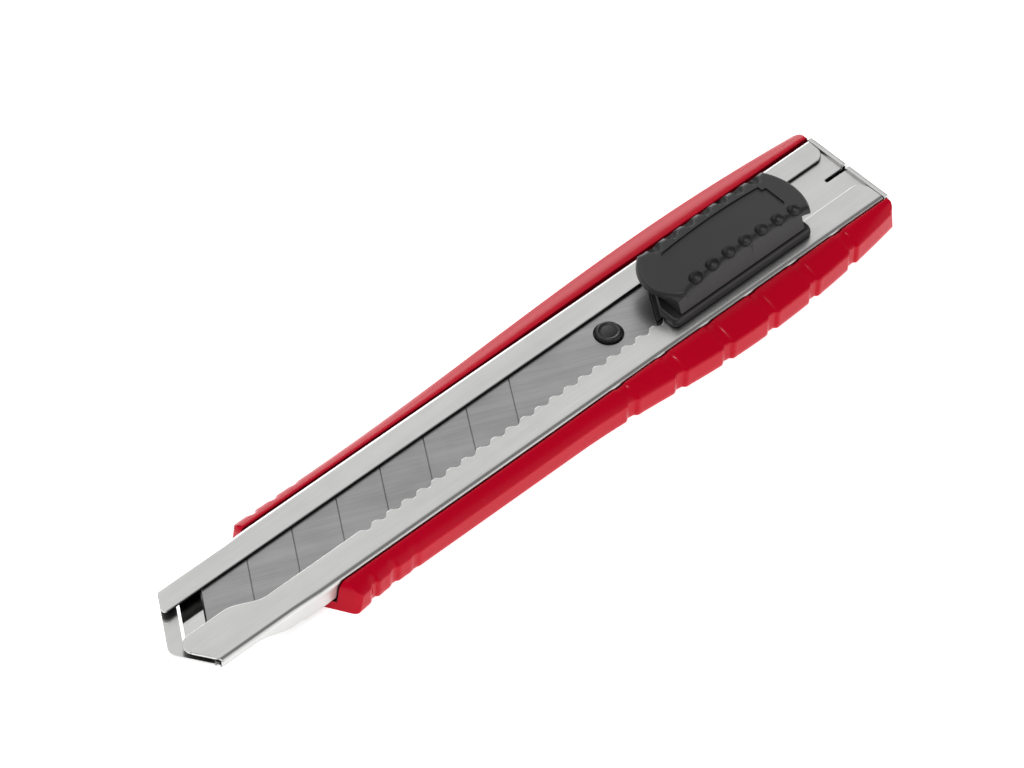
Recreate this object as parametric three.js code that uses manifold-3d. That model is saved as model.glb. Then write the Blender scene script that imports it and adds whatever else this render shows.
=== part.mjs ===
// Snap-off utility knife with an auto-lock slider, lying on its back.
//
// Millimetres, +Z up. +X runs from the blade tip to the end clip, and -Y is the side of the
// cutting edge and of the scalloped flange. The pieces are built round a working origin on the
// flange tops, where the blade's front edge crosses the centre line, and the whole knife is then
// set with its origin under the middle of its length, on the surface that it lies on.

import * as THREE from 'three';
import { mergeVertices } from 'three/addons/utils/BufferGeometryUtils.js';
import Module from 'manifold-3d';

const wasm = await Module();
wasm.setup();

// ---- Driving dimensions -------------------------------------------------------------------

// Clearances
const runningGap = 0.25;       // between pieces that slide on each other
const seatGap = 0.25;          // between pieces that rest on each other
const fitGap = 0.15;           // between a peg and its socket
const bladeGap = 0.2;          // above and below the blade

// Snap-off blade
const bladeWidth = 18;
const bladeThickness = 0.5;
const bladeAngle = 57.5;       // of the ends and score lines to the edge, degrees
const segmentPitch = 10;
const segmentCount = 8;
const tailLength = 33;         // last segment, which carries the hole
const edgeBevel = 1.6;         // width of the ground edge
const edgeLand = 0.06;         // thickness left at the cutting edge
const scoreWidth = 0.34;
const scoreDepth = 0.14;
const tailToPin = 10.1;

// Blade channel, bent from stainless sheet
const sheet = 0.5;
const channelSideGap = 0.35;   // beside the blade
const channelDepth = 4.5;
const noseDepth = 2.15;
const nosePinch = 0.22;        // how far each wall steps in at the nose
const pinchRun = 7;            // length over which the walls come back out
const channelRear = 151;
const topBend = 1;             // outer bend radii
const floorBend = 0.72;
const farFlangeEdge = 4.7;
const nearFlangeEdge = -4.0;
const noseFlangeEdge = -1.45;
const swellStart = 2.4;        // the near flange's wide front narrows between these two places
const swellEnd = 10;
const flangeCornerRadius = 2.4;
const farTipRadius = 0.8;
const nearTipRadius = 2.2;
const noseAngle = 32.4;        // slope of the two nose edges, degrees from square
const noseApexOffset = -1.35;  // sideways place of the nose point
const noseLead = 9.5;          // from the blade's front edge to the unrounded nose point
const noseRadius = 2.2;
const swageStart = 3;          // the shallow nose runs out into the full depth here
const swageEnd = 11;
const bridgeWidth = 3.2;       // strip across the nose, measured along the knife
const lanceGap = 0.75;
const lanceRun = 4;            // from the end of the swage to the lance's closed end
const lanceMargin = 2.4;       // sheet left beside the lanced tongue
const lanceCover = 1.2;        // how far the tongue reaches under the near flange
const tongueRise = 0.95;
const tongueLength = 4.6;      // from the tongue's front edge to its bend
const tongueLap = 16;          // the tongue's strip and the floor are one sheet over this length

// Scallops in the near flange
const scallopPitch = 3.43;
const scallopDepth = 0.85;
const scallopWidth = 2.9;
const scallopCount = 25;
const firstScallop = 32.1;

// Die-cast handle
const handleDepth = 6.6;
const handleFrontDrop = 0.45;  // wall tops below the flange tops, in front
const handleRearDrop = 0.05;   // and from the thumb button back
const dropStart = 66;          // between these places the tops rise
const dropEnd = 98;
const handleFront = 13.6;
const handleRake = 1.1;        // the front end leans back by this much
const handleNoseStart = 0.6;   // sideways place where the near corner starts to slope back
const handleNoseAngle = 30;    // plan slope of the near front corner, degrees from square
const frontRoundDrop = 2.2;    // above this depth the front edge is rounded
const frontRound = 2.3;
const rearOverhang = 1.2;       // the handle ends this far behind the channel
const rearLean = 0.7;          // the rear end leans forward by this much
const nearSlimHalf = 12.9;     // half widths of the two sides at the front
const farSlimHalf = 13.1;
const nearBellyHalf = 15.55;   // at their widest
const farBellyHalf = 15.15;
const nearTailHalf = 12;       // and at the rear
const farTailHalf = 13.15;
const nearBellyStart = 68;
const farBellyStart = 40;
const bellyCentre = 115;
const tailCurve = 2;           // how late the sides draw in towards the rear
const slimShoulder = 2.4;      // depth of the break between top bevel and side, at the front
const bellyShoulder = 2;       // the same at the finger grips
const rimWidth = 0.3;          // flat top of each wall, beside the channel
const bevelCurve = 1.6;
const undercut = 0.15;         // how far the side leans in at the bottom
const sideCurve = 1.4;
const bottomChamfer = 0.45;
const fingerFlare = 1.25;      // the near side widens by this much at the front
const flareStart = 20;
const flareEnd = 40;
const handleCorner = 1.2;      // radius of the rear corners
const farFrontRadius = 3;
const nearFrontRadius = 3;
const gripPitch = 10.7;
const gripCount = 6;
const gripFirst = 84.35;       // front edge of the first groove
const gripDepth = 0.6;
const gripWidth = 2.85;
const gripRimSweep = 0.4;      // each groove curves forward by this much at the wall's top
const gripRimNarrow = 0.4;     // and narrows by this much
const gripRimCut = 0.6;        // share of the depth that it cuts down there
const nearNotchFirst = 24.8;   // front edges of the first notches
const farNotchFirst = 19.8;
const notchPitch = 4.75;
const notchCount = 3;
const notchDepth = 0.55;
const notchFade = 0.17;        // each notch is shallower than the one before by this much
const notchWidth = 2.3;
const frontWall = 1.1;         // runs of the front and rear walls of every groove and notch
const rearWall = 0.7;

// Rivets that hold the channel in the handle
const rivetShank = 3;
const rivetHead = 5.4;
const rivetSink = 0.05;        // its ends lie this far below the faces round them
const rivetPlaces = [46, 137];

// Slider: carrier under the blade, base on the flanges, thumb button on the base
const pinToSlider = 8.7;       // from the pin's centre back to the base
const sliderLength = 33.8;
const baseHalf = 7.9;
const baseHeight = 1.75;
const baseCorner = 2.2;
const baseLedge = 0.5;
const baseToe = 3.6;           // sideways place where the slanted front starts
const baseStep = 0.96;         // height of the base's wider foot
const neckSetback = 1.3;
const neckSideGap = 0.4;       // beside the flange edges
const neckInset = 1;
const carrierSetback = 2;      // the carrier ends in front of the base
const carrierCorner = 2;
const carrierLead = 4.6;       // carrier in front of the pin's centre
const carrierSideGap = 0.35;
const pinDiameter = 4.9;
const pinHoleGap = 0.3;
const pinRise = 0.75;
const pinChamfer = 0.55;
const pegHeight = 1.1;         // how far the neck reaches up into the base
const coreLead = 9;            // from the base's ends to the core inside the button
const coreTail = 3;
const coreCorner = 1.2;

const buttonSetback = 0.3;     // its front end, behind the base's
const buttonOverhang = 2.7;    // its rear end, behind the base's
const buttonOffset = 0.15;     // sideways place of its middle
const buttonHalf = 7.05;       // at the foot of its sloping sides
const buttonTopHalf = 5.5;
const buttonHeight = 6.8;
const buttonCrown = 86;        // radius of the arched top
const buttonFrontRadius = 7.4;
const buttonRearRadius = 10;
const buttonLip = 1.6;         // how far the end plates stand out from the body
const buttonBodyCorner = 1.6;
const buttonEdge = 1;          // radius along the top edges
const buttonWall = 1.1;
const buttonRoof = 1.2;
const buttonTravel = 1.2;      // play each way that releases the lock
const thumbScoopRadius = 1.45;
const thumbScoopPitch = 4.25;
const thumbScoopCount = 7;
const thumbScoopShift = 0.6;
const thumbScoopSink = 0.1;    // of their centres below the top
const panelLength = 25.2;
const panelWidth = 6.2;
const panelShift = 0.25;
const panelRecess = 0.3;
const panelStep = 1;
const panelCorner = 0.8;

// Lock spring, a leaf on edge in a pocket of the carrier's neck
const springThickness = 0.3;
const springHeight = 1.5;
const springReach = 6.4;       // from the nib to each end
const nibRadius = 0.75;
const nibEntry = 0.45;
const springShoulder = 2.5;    // from the nib to where the leaf bends
const springBow = 0.3;
const springRoom = 0.5;        // beyond each end of the spring
const springDrop = 0.25;       // above and below it
const springFlex = 0.35;       // behind it
const engagedScallop = 23;

// End clip, which also snaps the blade
const clipSheet = 0.5;
const clipLead = 14.5;         // how far the top leaf reaches into the channel
const clipFootLead = 9;
const clipLip = 1.35;
const clipBend = 0.9;
const clipInset = 0.15;        // the lip stops short of the channel's outer faces
const clipStepTop = 0.28;      // how far back the inside of the step to the lip lies, at its top
const clipStepFoot = 0.15;     // and at its foot
const snapSlotWidth = 0.8;
const snapSlotLength = 5.9;
const snapSlotOffset = 0.5;

const over = 1;                // how far a cutter runs past what it cuts
const lap = 0.2;               // how far joined forms run into each other
const sliver = 0.02;           // keeps two faces from lying in one plane
const arcSteps = 5;            // facets in each sheet-metal bend
const roundSteps = 32;         // facets round a full circle

// ---- Sizes that follow ----------------------------------------------------------------------

const cot = (degrees) => 1 / Math.tan(THREE.MathUtils.degToRad(degrees));
const tan = (degrees) => Math.tan(THREE.MathUtils.degToRad(degrees));
const smooth = (low, high, x) => THREE.MathUtils.smoothstep(x, low, high);
const dip = (offset, width) => (Math.abs(offset) < width / 2
  ? 0.5 + 0.5 * Math.cos((2 * Math.PI * offset) / width) : 0);

const bladeHalf = bladeWidth / 2;
const bladeSlope = cot(bladeAngle);
const bladeTop = -sheet - bladeGap;
const bladeUnder = bladeTop - bladeThickness;
const bladeLength = (segmentCount - 1) * segmentPitch + tailLength;
const pinX = bladeLength - tailToPin;
const sliderFront = pinX + pinToSlider;
const sliderRear = sliderFront + sliderLength;
const buttonFront = sliderFront + buttonSetback;
const buttonRear = sliderRear + buttonOverhang;

const channelHalf = bladeHalf + channelSideGap + sheet;
const channelFloor = sheet - channelDepth;
const noseSlope = tan(noseAngle);
const bridgeRear = bridgeWidth - noseLead - noseApexOffset * noseSlope;
const noseTip = noseRadius * (1 / Math.cos(THREE.MathUtils.degToRad(noseAngle)) - 1) - noseLead;

const troughHalf = channelHalf + seatGap;
const troughFloor = -channelDepth - seatGap;
const handleRear = channelRear + rearOverhang;

const carrierTop = bladeUnder - fitGap;
const carrierUnder = channelFloor + runningGap;
const carrierFront = pinX - carrierLead;
const sliderCentre = (nearFlangeEdge + farFlangeEdge) / 2;
const neckNear = nearFlangeEdge + neckSideGap;
const neckFar = farFlangeEdge - neckSideGap;
const neckFront = sliderFront + baseToe * bladeSlope + neckSetback;
const baseUnder = fitGap;
const baseTop = baseUnder + baseHeight;
const coreHalf = buttonTopHalf - buttonWall - runningGap;
const sliderMiddle = (buttonFront + buttonRear) / 2;
const buttonUnder = baseTop + runningGap;
const crownTop = (x) => buttonHeight - ((x - sliderMiddle) ** 2) / (2 * buttonCrown);
const coreFront = sliderFront + coreLead;
const coreRear = sliderRear - coreTail;
const carrierRear = sliderRear - carrierSetback;
const neckRear = carrierRear - neckInset;
const coreTop = Math.min(crownTop(coreFront - buttonTravel), crownTop(coreRear + buttonTravel))
  - buttonRoof - runningGap;
const buttonSlope = (buttonHalf - buttonTopHalf) / (buttonHeight - buttonUnder);

const scallopX = (index) => firstScallop + index * scallopPitch;
const nibX = scallopX(engagedScallop);
const springBack = nearFlangeEdge + nibRadius * 2 + springThickness - nibEntry;
const springLow = -sheet;
const springHigh = springLow + springHeight;
const springFront = nearFlangeEdge - scallopDepth - springDrop;

const clipTop = -sheet - fitGap;
const clipRear = channelRear + clipLip + fitGap;

// ---- Building blocks ------------------------------------------------------------------------

/** A closed three.js geometry as a solid that can be cut and joined. */
function solid(geometry) {
  const bare = geometry.index ? geometry.toNonIndexed() : geometry.clone();
  for (const name of Object.keys(bare.attributes)) {
    if (name !== 'position') bare.deleteAttribute(name);
  }
  const merged = mergeVertices(bare, 1e-4);
  return new wasm.Manifold(new wasm.Mesh({
    numProp: 3,
    vertProperties: Float32Array.from(merged.attributes.position.array),
    triVerts: Uint32Array.from(merged.index.array),
  }));
}

/** A solid as a named mesh of the model. */
function piece(name, body, material) {
  const { vertProperties, triVerts } = body.getMesh();
  const geometry = new THREE.BufferGeometry();
  geometry.setAttribute('position', new THREE.BufferAttribute(vertProperties, 3));
  geometry.setIndex(new THREE.BufferAttribute(triVerts, 1));
  geometry.computeVertexNormals();
  const mesh = new THREE.Mesh(geometry, material);
  mesh.name = name;
  return mesh;
}

/** A closed outline from [x, y] points. */
function outline(points) {
  return new THREE.Shape(points.map(([x, y]) => new THREE.Vector2(x, y)));
}

/** A plan outline raised from one height to another. */
function prism(shape, low, high) {
  const geometry = new THREE.ExtrudeGeometry(shape, {
    depth: high - low, bevelEnabled: false, steps: 1, curveSegments: 10,
  });
  return solid(geometry.translate(0, 0, low));
}

/** A side-view outline in x and z, carried across from one y to another. */
function sideways(shape, low, high) {
  const geometry = new THREE.ExtrudeGeometry(shape, {
    depth: high - low, bevelEnabled: false, steps: 1, curveSegments: 10,
  });
  return solid(geometry.rotateX(Math.PI / 2).translate(0, high, 0));
}

/** An end-view outline in y and z, carried along from one x to another. */
function lengthways(shape, low, high) {
  const geometry = new THREE.ExtrudeGeometry(shape, {
    depth: high - low, bevelEnabled: false, steps: 1, curveSegments: 10,
  });
  const turn = new THREE.Matrix4().set(0, 0, 1, low, 1, 0, 0, 0, 0, 1, 0, 0, 0, 0, 0, 1);
  return solid(geometry.applyMatrix4(turn));
}

/** A block between two corners. */
function block(x0, x1, y0, y1, z0, z1) {
  const geometry = new THREE.BoxGeometry(x1 - x0, y1 - y0, z1 - z0);
  return solid(geometry.translate((x0 + x1) / 2, (y0 + y1) / 2, (z0 + z1) / 2));
}

/** A round form from a profile of [radius, height] points, standing at x and y. */
function turned(profile, x, y, steps = roundSteps) {
  const points = profile.map(([radius, height]) => new THREE.Vector2(radius, height));
  const geometry = new THREE.LatheGeometry(points, steps);
  return solid(geometry.rotateX(Math.PI / 2).translate(x, y, 0));
}

/** A rectangle with round corners. */
function roundedRectangle(x0, x1, y0, y1, radius) {
  const shape = new THREE.Shape();
  shape.moveTo(x0 + radius, y0);
  shape.lineTo(x1 - radius, y0);
  shape.absarc(x1 - radius, y0 + radius, radius, -Math.PI / 2, 0);
  shape.lineTo(x1, y1 - radius);
  shape.absarc(x1 - radius, y1 - radius, radius, 0, Math.PI / 2);
  shape.lineTo(x0 + radius, y1);
  shape.absarc(x0 + radius, y1 - radius, radius, Math.PI / 2, Math.PI);
  shape.lineTo(x0, y0 + radius);
  shape.absarc(x0 + radius, y0 + radius, radius, Math.PI, 1.5 * Math.PI);
  return shape;
}

/** A closed skin over rings of [y, z] points, one ring at each x. */
function loft(stations, ringAt) {
  const rings = stations.map((x) => ringAt(x));
  const count = rings[0].length;
  const positions = rings.flatMap((ring, k) => ring.flatMap(([y, z]) => [stations[k], y, z]));
  const index = [];
  for (let k = 0; k + 1 < rings.length; k += 1) {
    for (let i = 0; i < count; i += 1) {
      const a = k * count + i;
      const b = k * count + ((i + 1) % count);
      index.push(a, a + count, b, b, a + count, b + count);
    }
  }
  [[0, 1], [rings.length - 1, -1]].forEach(([k, side]) => {
    const flat = rings[k].map(([y, z]) => new THREE.Vector2(y, z));
    THREE.ShapeUtils.triangulateShape(flat, []).forEach(([a, b, c]) => {
      const face = side > 0 ? [a, c, b] : [a, b, c];
      index.push(...face.map((i) => i + k * count));
    });
  });
  const geometry = new THREE.BufferGeometry();
  geometry.setAttribute('position', new THREE.Float32BufferAttribute(positions, 3));
  geometry.setIndex(index);
  return solid(geometry);
}

/** Points round part of a circle, as [a, b] pairs. */
function arc(a, b, radius, from, to, steps = arcSteps) {
  return Array.from({ length: steps + 1 }, (_, i) => {
    const angle = THREE.MathUtils.degToRad(from + ((to - from) * i) / steps);
    return [a + radius * Math.cos(angle), b + radius * Math.sin(angle)];
  });
}

/** Evenly spaced values, both ends included. */
function spread(low, high, count) {
  return Array.from({ length: count }, (_, i) => low + ((high - low) * i) / (count - 1));
}

// ---- Materials ------------------------------------------------------------------------------

const finish = (color, roughness, metalness) => new THREE.MeshStandardMaterial({
  color, roughness, metalness,
});
const stainless = finish(0xc8c8c6, 0.34, 1);
const bladeSteel = finish(0x9b9c9e, 0.3, 1);
const redPaint = finish(0xb4081c, 0.25, 0);
const blackPlastic = finish(0x1c1d1f, 0.5, 0);
const springSteel = finish(0x8d9095, 0.3, 1);
const rivetSteel = finish(0xb0b1b3, 0.4, 1);

// ---- Blade ----------------------------------------------------------------------------------

/** A slanted strip across the blade, square to the sheet, for ends and score lines. */
function slantedStrip(x, before, after, reach, low, high) {
  const lean = bladeSlope * reach;
  return prism(outline([
    [x + before - lean, -reach], [x + after - lean, -reach],
    [x + after + lean, reach], [x + before + lean, reach],
  ]), low, high);
}

function makeBlade() {
  const middle = (bladeTop + bladeUnder) / 2;
  const section = outline([
    [-bladeHalf, middle - edgeLand / 2], [edgeBevel - bladeHalf, bladeUnder],
    [bladeHalf, bladeUnder], [bladeHalf, bladeTop],
    [edgeBevel - bladeHalf, bladeTop], [-bladeHalf, middle + edgeLand / 2],
  ]);
  const reach = bladeHalf + over;
  let blade = lengthways(section, -bladeWidth, bladeLength + bladeWidth)
    .intersect(slantedStrip(0, 0, bladeLength, reach, bladeUnder - over, bladeTop + over));
  for (let k = 1; k < segmentCount; k += 1) {
    const x = k * segmentPitch;
    const groove = slantedStrip(x, -scoreWidth / 2, scoreWidth / 2, reach,
      bladeTop - scoreDepth, bladeTop + over);
    blade = blade.subtract(groove);
  }
  const hole = pinDiameter / 2 + pinHoleGap;
  return blade.subtract(turned([
    [0, bladeUnder - over], [hole, bladeUnder - over], [hole, bladeTop + over], [0, bladeTop + over],
  ], pinX, sliderCentre));
}

// ---- Blade channel --------------------------------------------------------------------------

const depthAt = (x) => noseDepth + (channelDepth - noseDepth) * smooth(swageStart, swageEnd, x);
const channelHalfAt = (x) => channelHalf - nosePinch * (1 - smooth(swageEnd, swageEnd + pinchRun, x));

/** One cross-section of the channel, with the flanges still meeting near the middle. */
function channelRing(x) {
  const half = channelHalfAt(x);
  const depth = depthAt(x);
  const far = [
    [lap, 0],
    ...arc(half - topBend, -topBend, topBend, 90, 0),
    ...arc(half - floorBend, floorBend - depth, floorBend, 0, -90),
  ];
  const inner = [
    ...arc(half - floorBend, floorBend - depth, floorBend - sheet, -90, 0),
    ...arc(half - topBend, -topBend, topBend - sheet, 0, 90),
    [lap, -sheet],
  ];
  const mirrored = (points) => points.map(([y, z]) => [-y, z]).reverse();
  return [...far, ...mirrored(far), ...mirrored(inner), ...inner];
}

/** Where the sloping front of the nose lies, on either side of its point. */
const noseFrontAt = (y) => Math.abs(y - noseApexOffset) * noseSlope - noseLead;

/** The front of the knife in plan: two sloping edges with a rounded point between them. */
function noseOutline() {
  const reach = channelHalf + over;
  const centre = noseRadius / Math.cos(THREE.MathUtils.degToRad(noseAngle)) - noseLead;
  return outline([
    [noseFrontAt(-reach), -reach], [channelRear, -reach], [channelRear, reach],
    [noseFrontAt(reach), reach],
    ...arc(centre, noseApexOffset, noseRadius, 180 - noseAngle, 180 + noseAngle, 8),
  ]);
}

/** The inner edge of the near flange at one place along the knife. */
function nearEdge(x) {
  const swell = (noseFlangeEdge - nearFlangeEdge) * (1 - smooth(swellStart, swellEnd, x));
  const index = Math.round((x - firstScallop) / scallopPitch);
  const inRow = index >= 0 && index < scallopCount;
  const scallop = inRow ? scallopDepth * dip(x - scallopX(index), scallopWidth) : 0;
  return nearFlangeEdge + swell - scallop;
}

/** The opening between the flanges, with the scallops and rounded flange corners. */
function windowOutline() {
  const half = tan((90 - noseAngle) / 2);
  const nearTip = noseFrontAt(noseFlangeEdge) + nearTipRadius / half;
  const farTip = noseFrontAt(farFlangeEdge) + farTipRadius / half;
  const rear = channelRear;
  const radius = flangeCornerRadius;
  const front = -noseLead - 2 * over;
  const ends = [firstScallop - scallopWidth / 2, scallopX(scallopCount - 1) + scallopWidth / 2];
  const stepsPerScallop = 7;
  const xs = [
    ...spread(swellStart, swellEnd, 9),
    ...spread(ends[0], ends[1], scallopCount * stepsPerScallop + 1),
  ];
  const nearArc = arc(nearTip, noseFlangeEdge - nearTipRadius, nearTipRadius,
    180 + noseAngle, 90, 6);
  const farArc = arc(farTip, farFlangeEdge + farTipRadius, farTipRadius,
    270, 180 - noseAngle, 5);
  return outline([
    [front, nearArc[0][1]], ...nearArc, ...xs.map((x) => [x, nearEdge(x)]),
    ...arc(rear - radius, nearFlangeEdge - radius, radius, 90, 0),
    [rear + over, nearFlangeEdge - radius], [rear + over, farFlangeEdge + radius],
    ...arc(rear - radius, farFlangeEdge + radius, radius, 0, -90),
    ...farArc, [front, farArc[farArc.length - 1][1]],
  ]);
}

/** A band across the nose, alongside its sloping far edge, from one offset to another. */
function noseBand(before, after, near, far, low, high) {
  return prism(outline([
    [before + noseSlope * near, near], [after + noseSlope * near, near],
    [after + noseSlope * far, far], [before + noseSlope * far, far],
  ]), low, high);
}

/** The middle of the floor, which runs forward at full depth and ends in a raised tongue. */
function tongueForm(near, far) {
  const tip = bridgeRear + lanceGap;
  const bend = tip + tongueLength;
  const rear = swageEnd + lanceRun + tongueLap;
  const profile = outline([
    [rear, -channelDepth], [rear, channelFloor], [bend, channelFloor],
    [tip, channelFloor + tongueRise], [tip, -channelDepth + tongueRise], [bend, -channelDepth],
  ]);
  const shear = new THREE.Matrix4().makeShear(0, 0, noseSlope, 0, 0, 0);
  const length = new THREE.ExtrudeGeometry(profile, {
    depth: far - near, bevelEnabled: false, steps: 1,
  }).rotateX(Math.PI / 2).translate(0, far, 0).applyMatrix4(shear);
  return solid(length);
}

function makeChannel() {
  const stations = [
    -noseLead - 2 * over, ...spread(swageStart, swageEnd, 9),
    ...spread(swageEnd, swageEnd + pinchRun, 6).slice(1), channelRear,
  ];
  const near = noseFlangeEdge - lanceCover;
  const far = channelHalf - nosePinch - lanceMargin;
  const join = swageEnd + lanceRun;
  const lance = noseBand(bridgeRear, join + bladeWidth, near, far, -channelDepth - over, -sheet - lap)
    .intersect(block(-noseLead, join, near, far, -channelDepth - over, 0));
  let channel = loft(stations, channelRing)
    .intersect(prism(noseOutline(), -channelDepth - over, over))
    .subtract(prism(windowOutline(), -sheet - lap, over))
    .subtract(lance)
    .add(tongueForm(near + fitGap, far - fitGap));
  for (const x of rivetPlaces) {
    channel = channel.subtract(rivetForm(x, fitGap));
  }
  return channel;
}

// ---- Handle ---------------------------------------------------------------------------------

/** Half the width of the handle at one side's shoulder, without grips. */
function handleHalf(x, side) {
  const [slim, belly, tail, start] = side < 0
    ? [nearSlimHalf, nearBellyHalf, nearTailHalf, nearBellyStart]
    : [farSlimHalf, farBellyHalf, farTailHalf, farBellyStart];
  if (x > bellyCentre) {
    return belly - (belly - tail) * ((x - bellyCentre) / (handleRear - bellyCentre)) ** tailCurve;
  }
  const t = THREE.MathUtils.clamp((x - start) / (bellyCentre - start), 0, 1);
  const flare = side < 0 ? fingerFlare * (1 - smooth(flareStart, flareEnd, x)) : 0;
  return slim + (belly - slim) * (0.5 - 0.5 * Math.cos(Math.PI * t)) + flare;
}

/** The front end of the handle at its bottom, which slopes back on the near side. */
const handleFrontAt = (y) => handleFront + Math.max(0, handleNoseStart - y) * tan(handleNoseAngle);

/** The depth of the break between the top bevel and the side. */
const shoulderAt = (x) => slimShoulder
  + (bellyShoulder - slimShoulder) * smooth(nearBellyStart, bellyCentre, x);

/** The depth of a groove at a place behind its front edge, as a share: steep walls, sloping floor. */
function grooveShape(along, width) {
  const walls = smooth(0, frontWall, along) * (1 - smooth(width - rearWall, width, along));
  return walls * (1 - along / (4 * width));
}

/** How deep the near side's finger grooves are, where they sweep forward and narrow. */
function gripCut(x, side, sweep, narrow) {
  const index = Math.floor((x + sweep - gripFirst) / gripPitch);
  if (side > 0 || index < 0 || index >= gripCount) return 0;
  return gripDepth * grooveShape(x + sweep - gripFirst - index * gripPitch, gripWidth - narrow);
}

/** How deep the shallow notches near the front end are. */
function notchCut(x, side) {
  const first = side < 0 ? nearNotchFirst : farNotchFirst;
  const index = Math.floor((x - first) / notchPitch);
  if (index < 0 || index >= notchCount) return 0;
  return (notchDepth - notchFade * index) * grooveShape(x - first - index * notchPitch, notchWidth);
}

/** One side of a handle section, from the wall top down to the bottom. */
function handleSide(x, side) {
  const half = handleHalf(x, side);
  const top = -handleFrontDrop
    + (handleFrontDrop - handleRearDrop) * smooth(dropStart, dropEnd, x);
  const shoulder = shoulderAt(x);
  const rim = troughHalf + rimWidth;
  // Down the side the grooves and notches cut inwards.
  const depths = spread(-shoulder, bottomChamfer - handleDepth, 5);
  const sideAt = (z) => {
    const t = (-shoulder - z) / (handleDepth - shoulder);
    return half - undercut * t ** sideCurve - gripCut(x, side, 0, 0) - notchCut(x, side);
  };
  // Up the bevel the grooves turn to cut downwards, and the notches run out.
  const bevel = (t) => {
    const turn = (1 - t) ** 2;
    const cut = gripCut(x, side, gripRimSweep * turn, gripRimNarrow * turn);
    return [
      side * (rim + (half - rim) * t - cut * t - notchCut(x, side) * t ** 2),
      top - (shoulder + top) * t ** bevelCurve - gripRimCut * cut * (1 - t),
    ];
  };
  return [
    ...[0, 0.35, 0.7].map(bevel),
    ...depths.map((z) => [side * sideAt(z), z]),
    [side * (sideAt(-handleDepth) - bottomChamfer), -handleDepth],
  ];
}

/** The plan of the handle's front end at its bottom, open to the rear. */
function handleFrontPlan() {
  const reach = nearBellyHalf + over;
  const side = nearSlimHalf + fingerFlare;
  const turn = nearFrontRadius * tan((90 - handleNoseAngle) / 2);
  const nearCorner = handleFrontAt(-side) + turn;
  const farCorner = handleFront + farFrontRadius;
  return outline([
    [handleFront, handleNoseStart],
    ...arc(nearCorner, nearFrontRadius - side, nearFrontRadius, 180 + handleNoseAngle, 270, 7),
    [nearCorner + gripWidth, -reach], [handleRear + handleDepth, -reach],
    [handleRear + handleDepth, reach], [farCorner, reach],
    ...arc(farCorner, farSlimHalf - farFrontRadius, farFrontRadius, 90, 180, 6),
  ]);
}

/** The plan of the handle's rear end at its bottom, open to the front. */
function handleRearPlan() {
  const reach = nearBellyHalf + over;
  const corner = handleRear - handleCorner;
  const front = handleFront - over;
  return outline([
    [front, -reach], [corner - handleCorner, -reach],
    ...arc(corner, handleCorner - nearTailHalf, handleCorner, -90, 0, 6),
    ...arc(corner, farTailHalf - handleCorner, handleCorner, 0, 90, 6),
    [corner - handleCorner, reach], [front, reach],
  ]);
}

/** A plan raised from the handle's bottom, leaning along the knife by some slope. */
function leaningPrism(plan, slope, shift = 0) {
  const shear = new THREE.Matrix4().makeShear(0, 0, 0, 0, slope, 0);
  return solid(new THREE.ExtrudeGeometry(plan, {
    depth: handleDepth + over, bevelEnabled: false, steps: 1,
  }).applyMatrix4(shear).translate(shift, 0, -handleDepth));
}

function makeHandle() {
  const stations = [
    ...spread(handleFront - over, flareEnd, 60),
    ...spread(flareEnd + notchPitch, gripFirst - gripWidth, 7),
  ];
  for (let k = 0; k < gripCount; k += 1) {
    const front = gripFirst + k * gripPitch;
    const rear = front + gripWidth;
    stations.push(...spread(front - gripRimSweep, front + frontWall, 6),
      ...spread(rear - rearWall - gripRimSweep, rear, 6), rear + gripPitch / 4);
  }
  stations.push(handleRear - handleCorner, handleRear + over);
  const rake = handleRake / handleDepth;
  const radius = floorBend;
  const trough = outline([
    [-troughHalf, over],
    ...arc(radius - troughHalf, troughFloor + radius, radius, 180, 270, 4),
    ...arc(troughHalf - radius, troughFloor + radius, radius, 270, 360, 4),
    [troughHalf, over],
  ]);
  let handle = loft(stations, (x) => [...handleSide(x, 1), ...handleSide(x, -1).reverse()])
    .intersect(leaningPrism(handleFrontPlan(), rake))
    .intersect(leaningPrism(handleRearPlan(), -rearLean / handleDepth))
    .subtract(lengthways(trough, handleFront - over, handleRear + over));
  // The front's top edge is rounded by a few leaning planes.
  for (const angle of [20, 40, 60]) {
    const slope = tan(angle);
    const rise = frontRound * Math.sin(THREE.MathUtils.degToRad(angle));
    const height = handleDepth - frontRoundDrop + rise;
    const back = frontRound - rise / slope;
    handle = handle.intersect(leaningPrism(handleFrontPlan(), slope,
      rake * height + back - slope * height));
  }
  for (const x of rivetPlaces) {
    handle = handle.subtract(rivetForm(x, fitGap));
  }
  return handle;
}

// ---- Rivets ---------------------------------------------------------------------------------

/** A countersunk rivet through the channel floor and the handle floor, or its hole. */
function rivetForm(x, gap) {
  const shank = rivetShank / 2 + gap;
  const head = rivetHead / 2 + gap;
  const flush = channelFloor - rivetSink;
  const under = gap > 0 ? -handleDepth - over : rivetSink - handleDepth;
  const upper = gap > 0 ? channelFloor + over : flush;
  return turned([
    [0, under], [shank, under], [shank, channelFloor - sheet + rivetSink], [head, flush],
    ...(gap > 0 ? [[head, upper]] : []), [0, upper],
  ], x, 0, 24);
}

// ---- Slider ---------------------------------------------------------------------------------

/** The part of a block that lies behind a line slanted as the blade's ends are. */
function behindSlant(x, y) {
  const reach = channelHalf + 2 * over;
  const crossing = x - bladeSlope * y;
  return slantedStrip(crossing, 0, bladeLength, reach, -channelDepth, buttonHeight);
}

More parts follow.
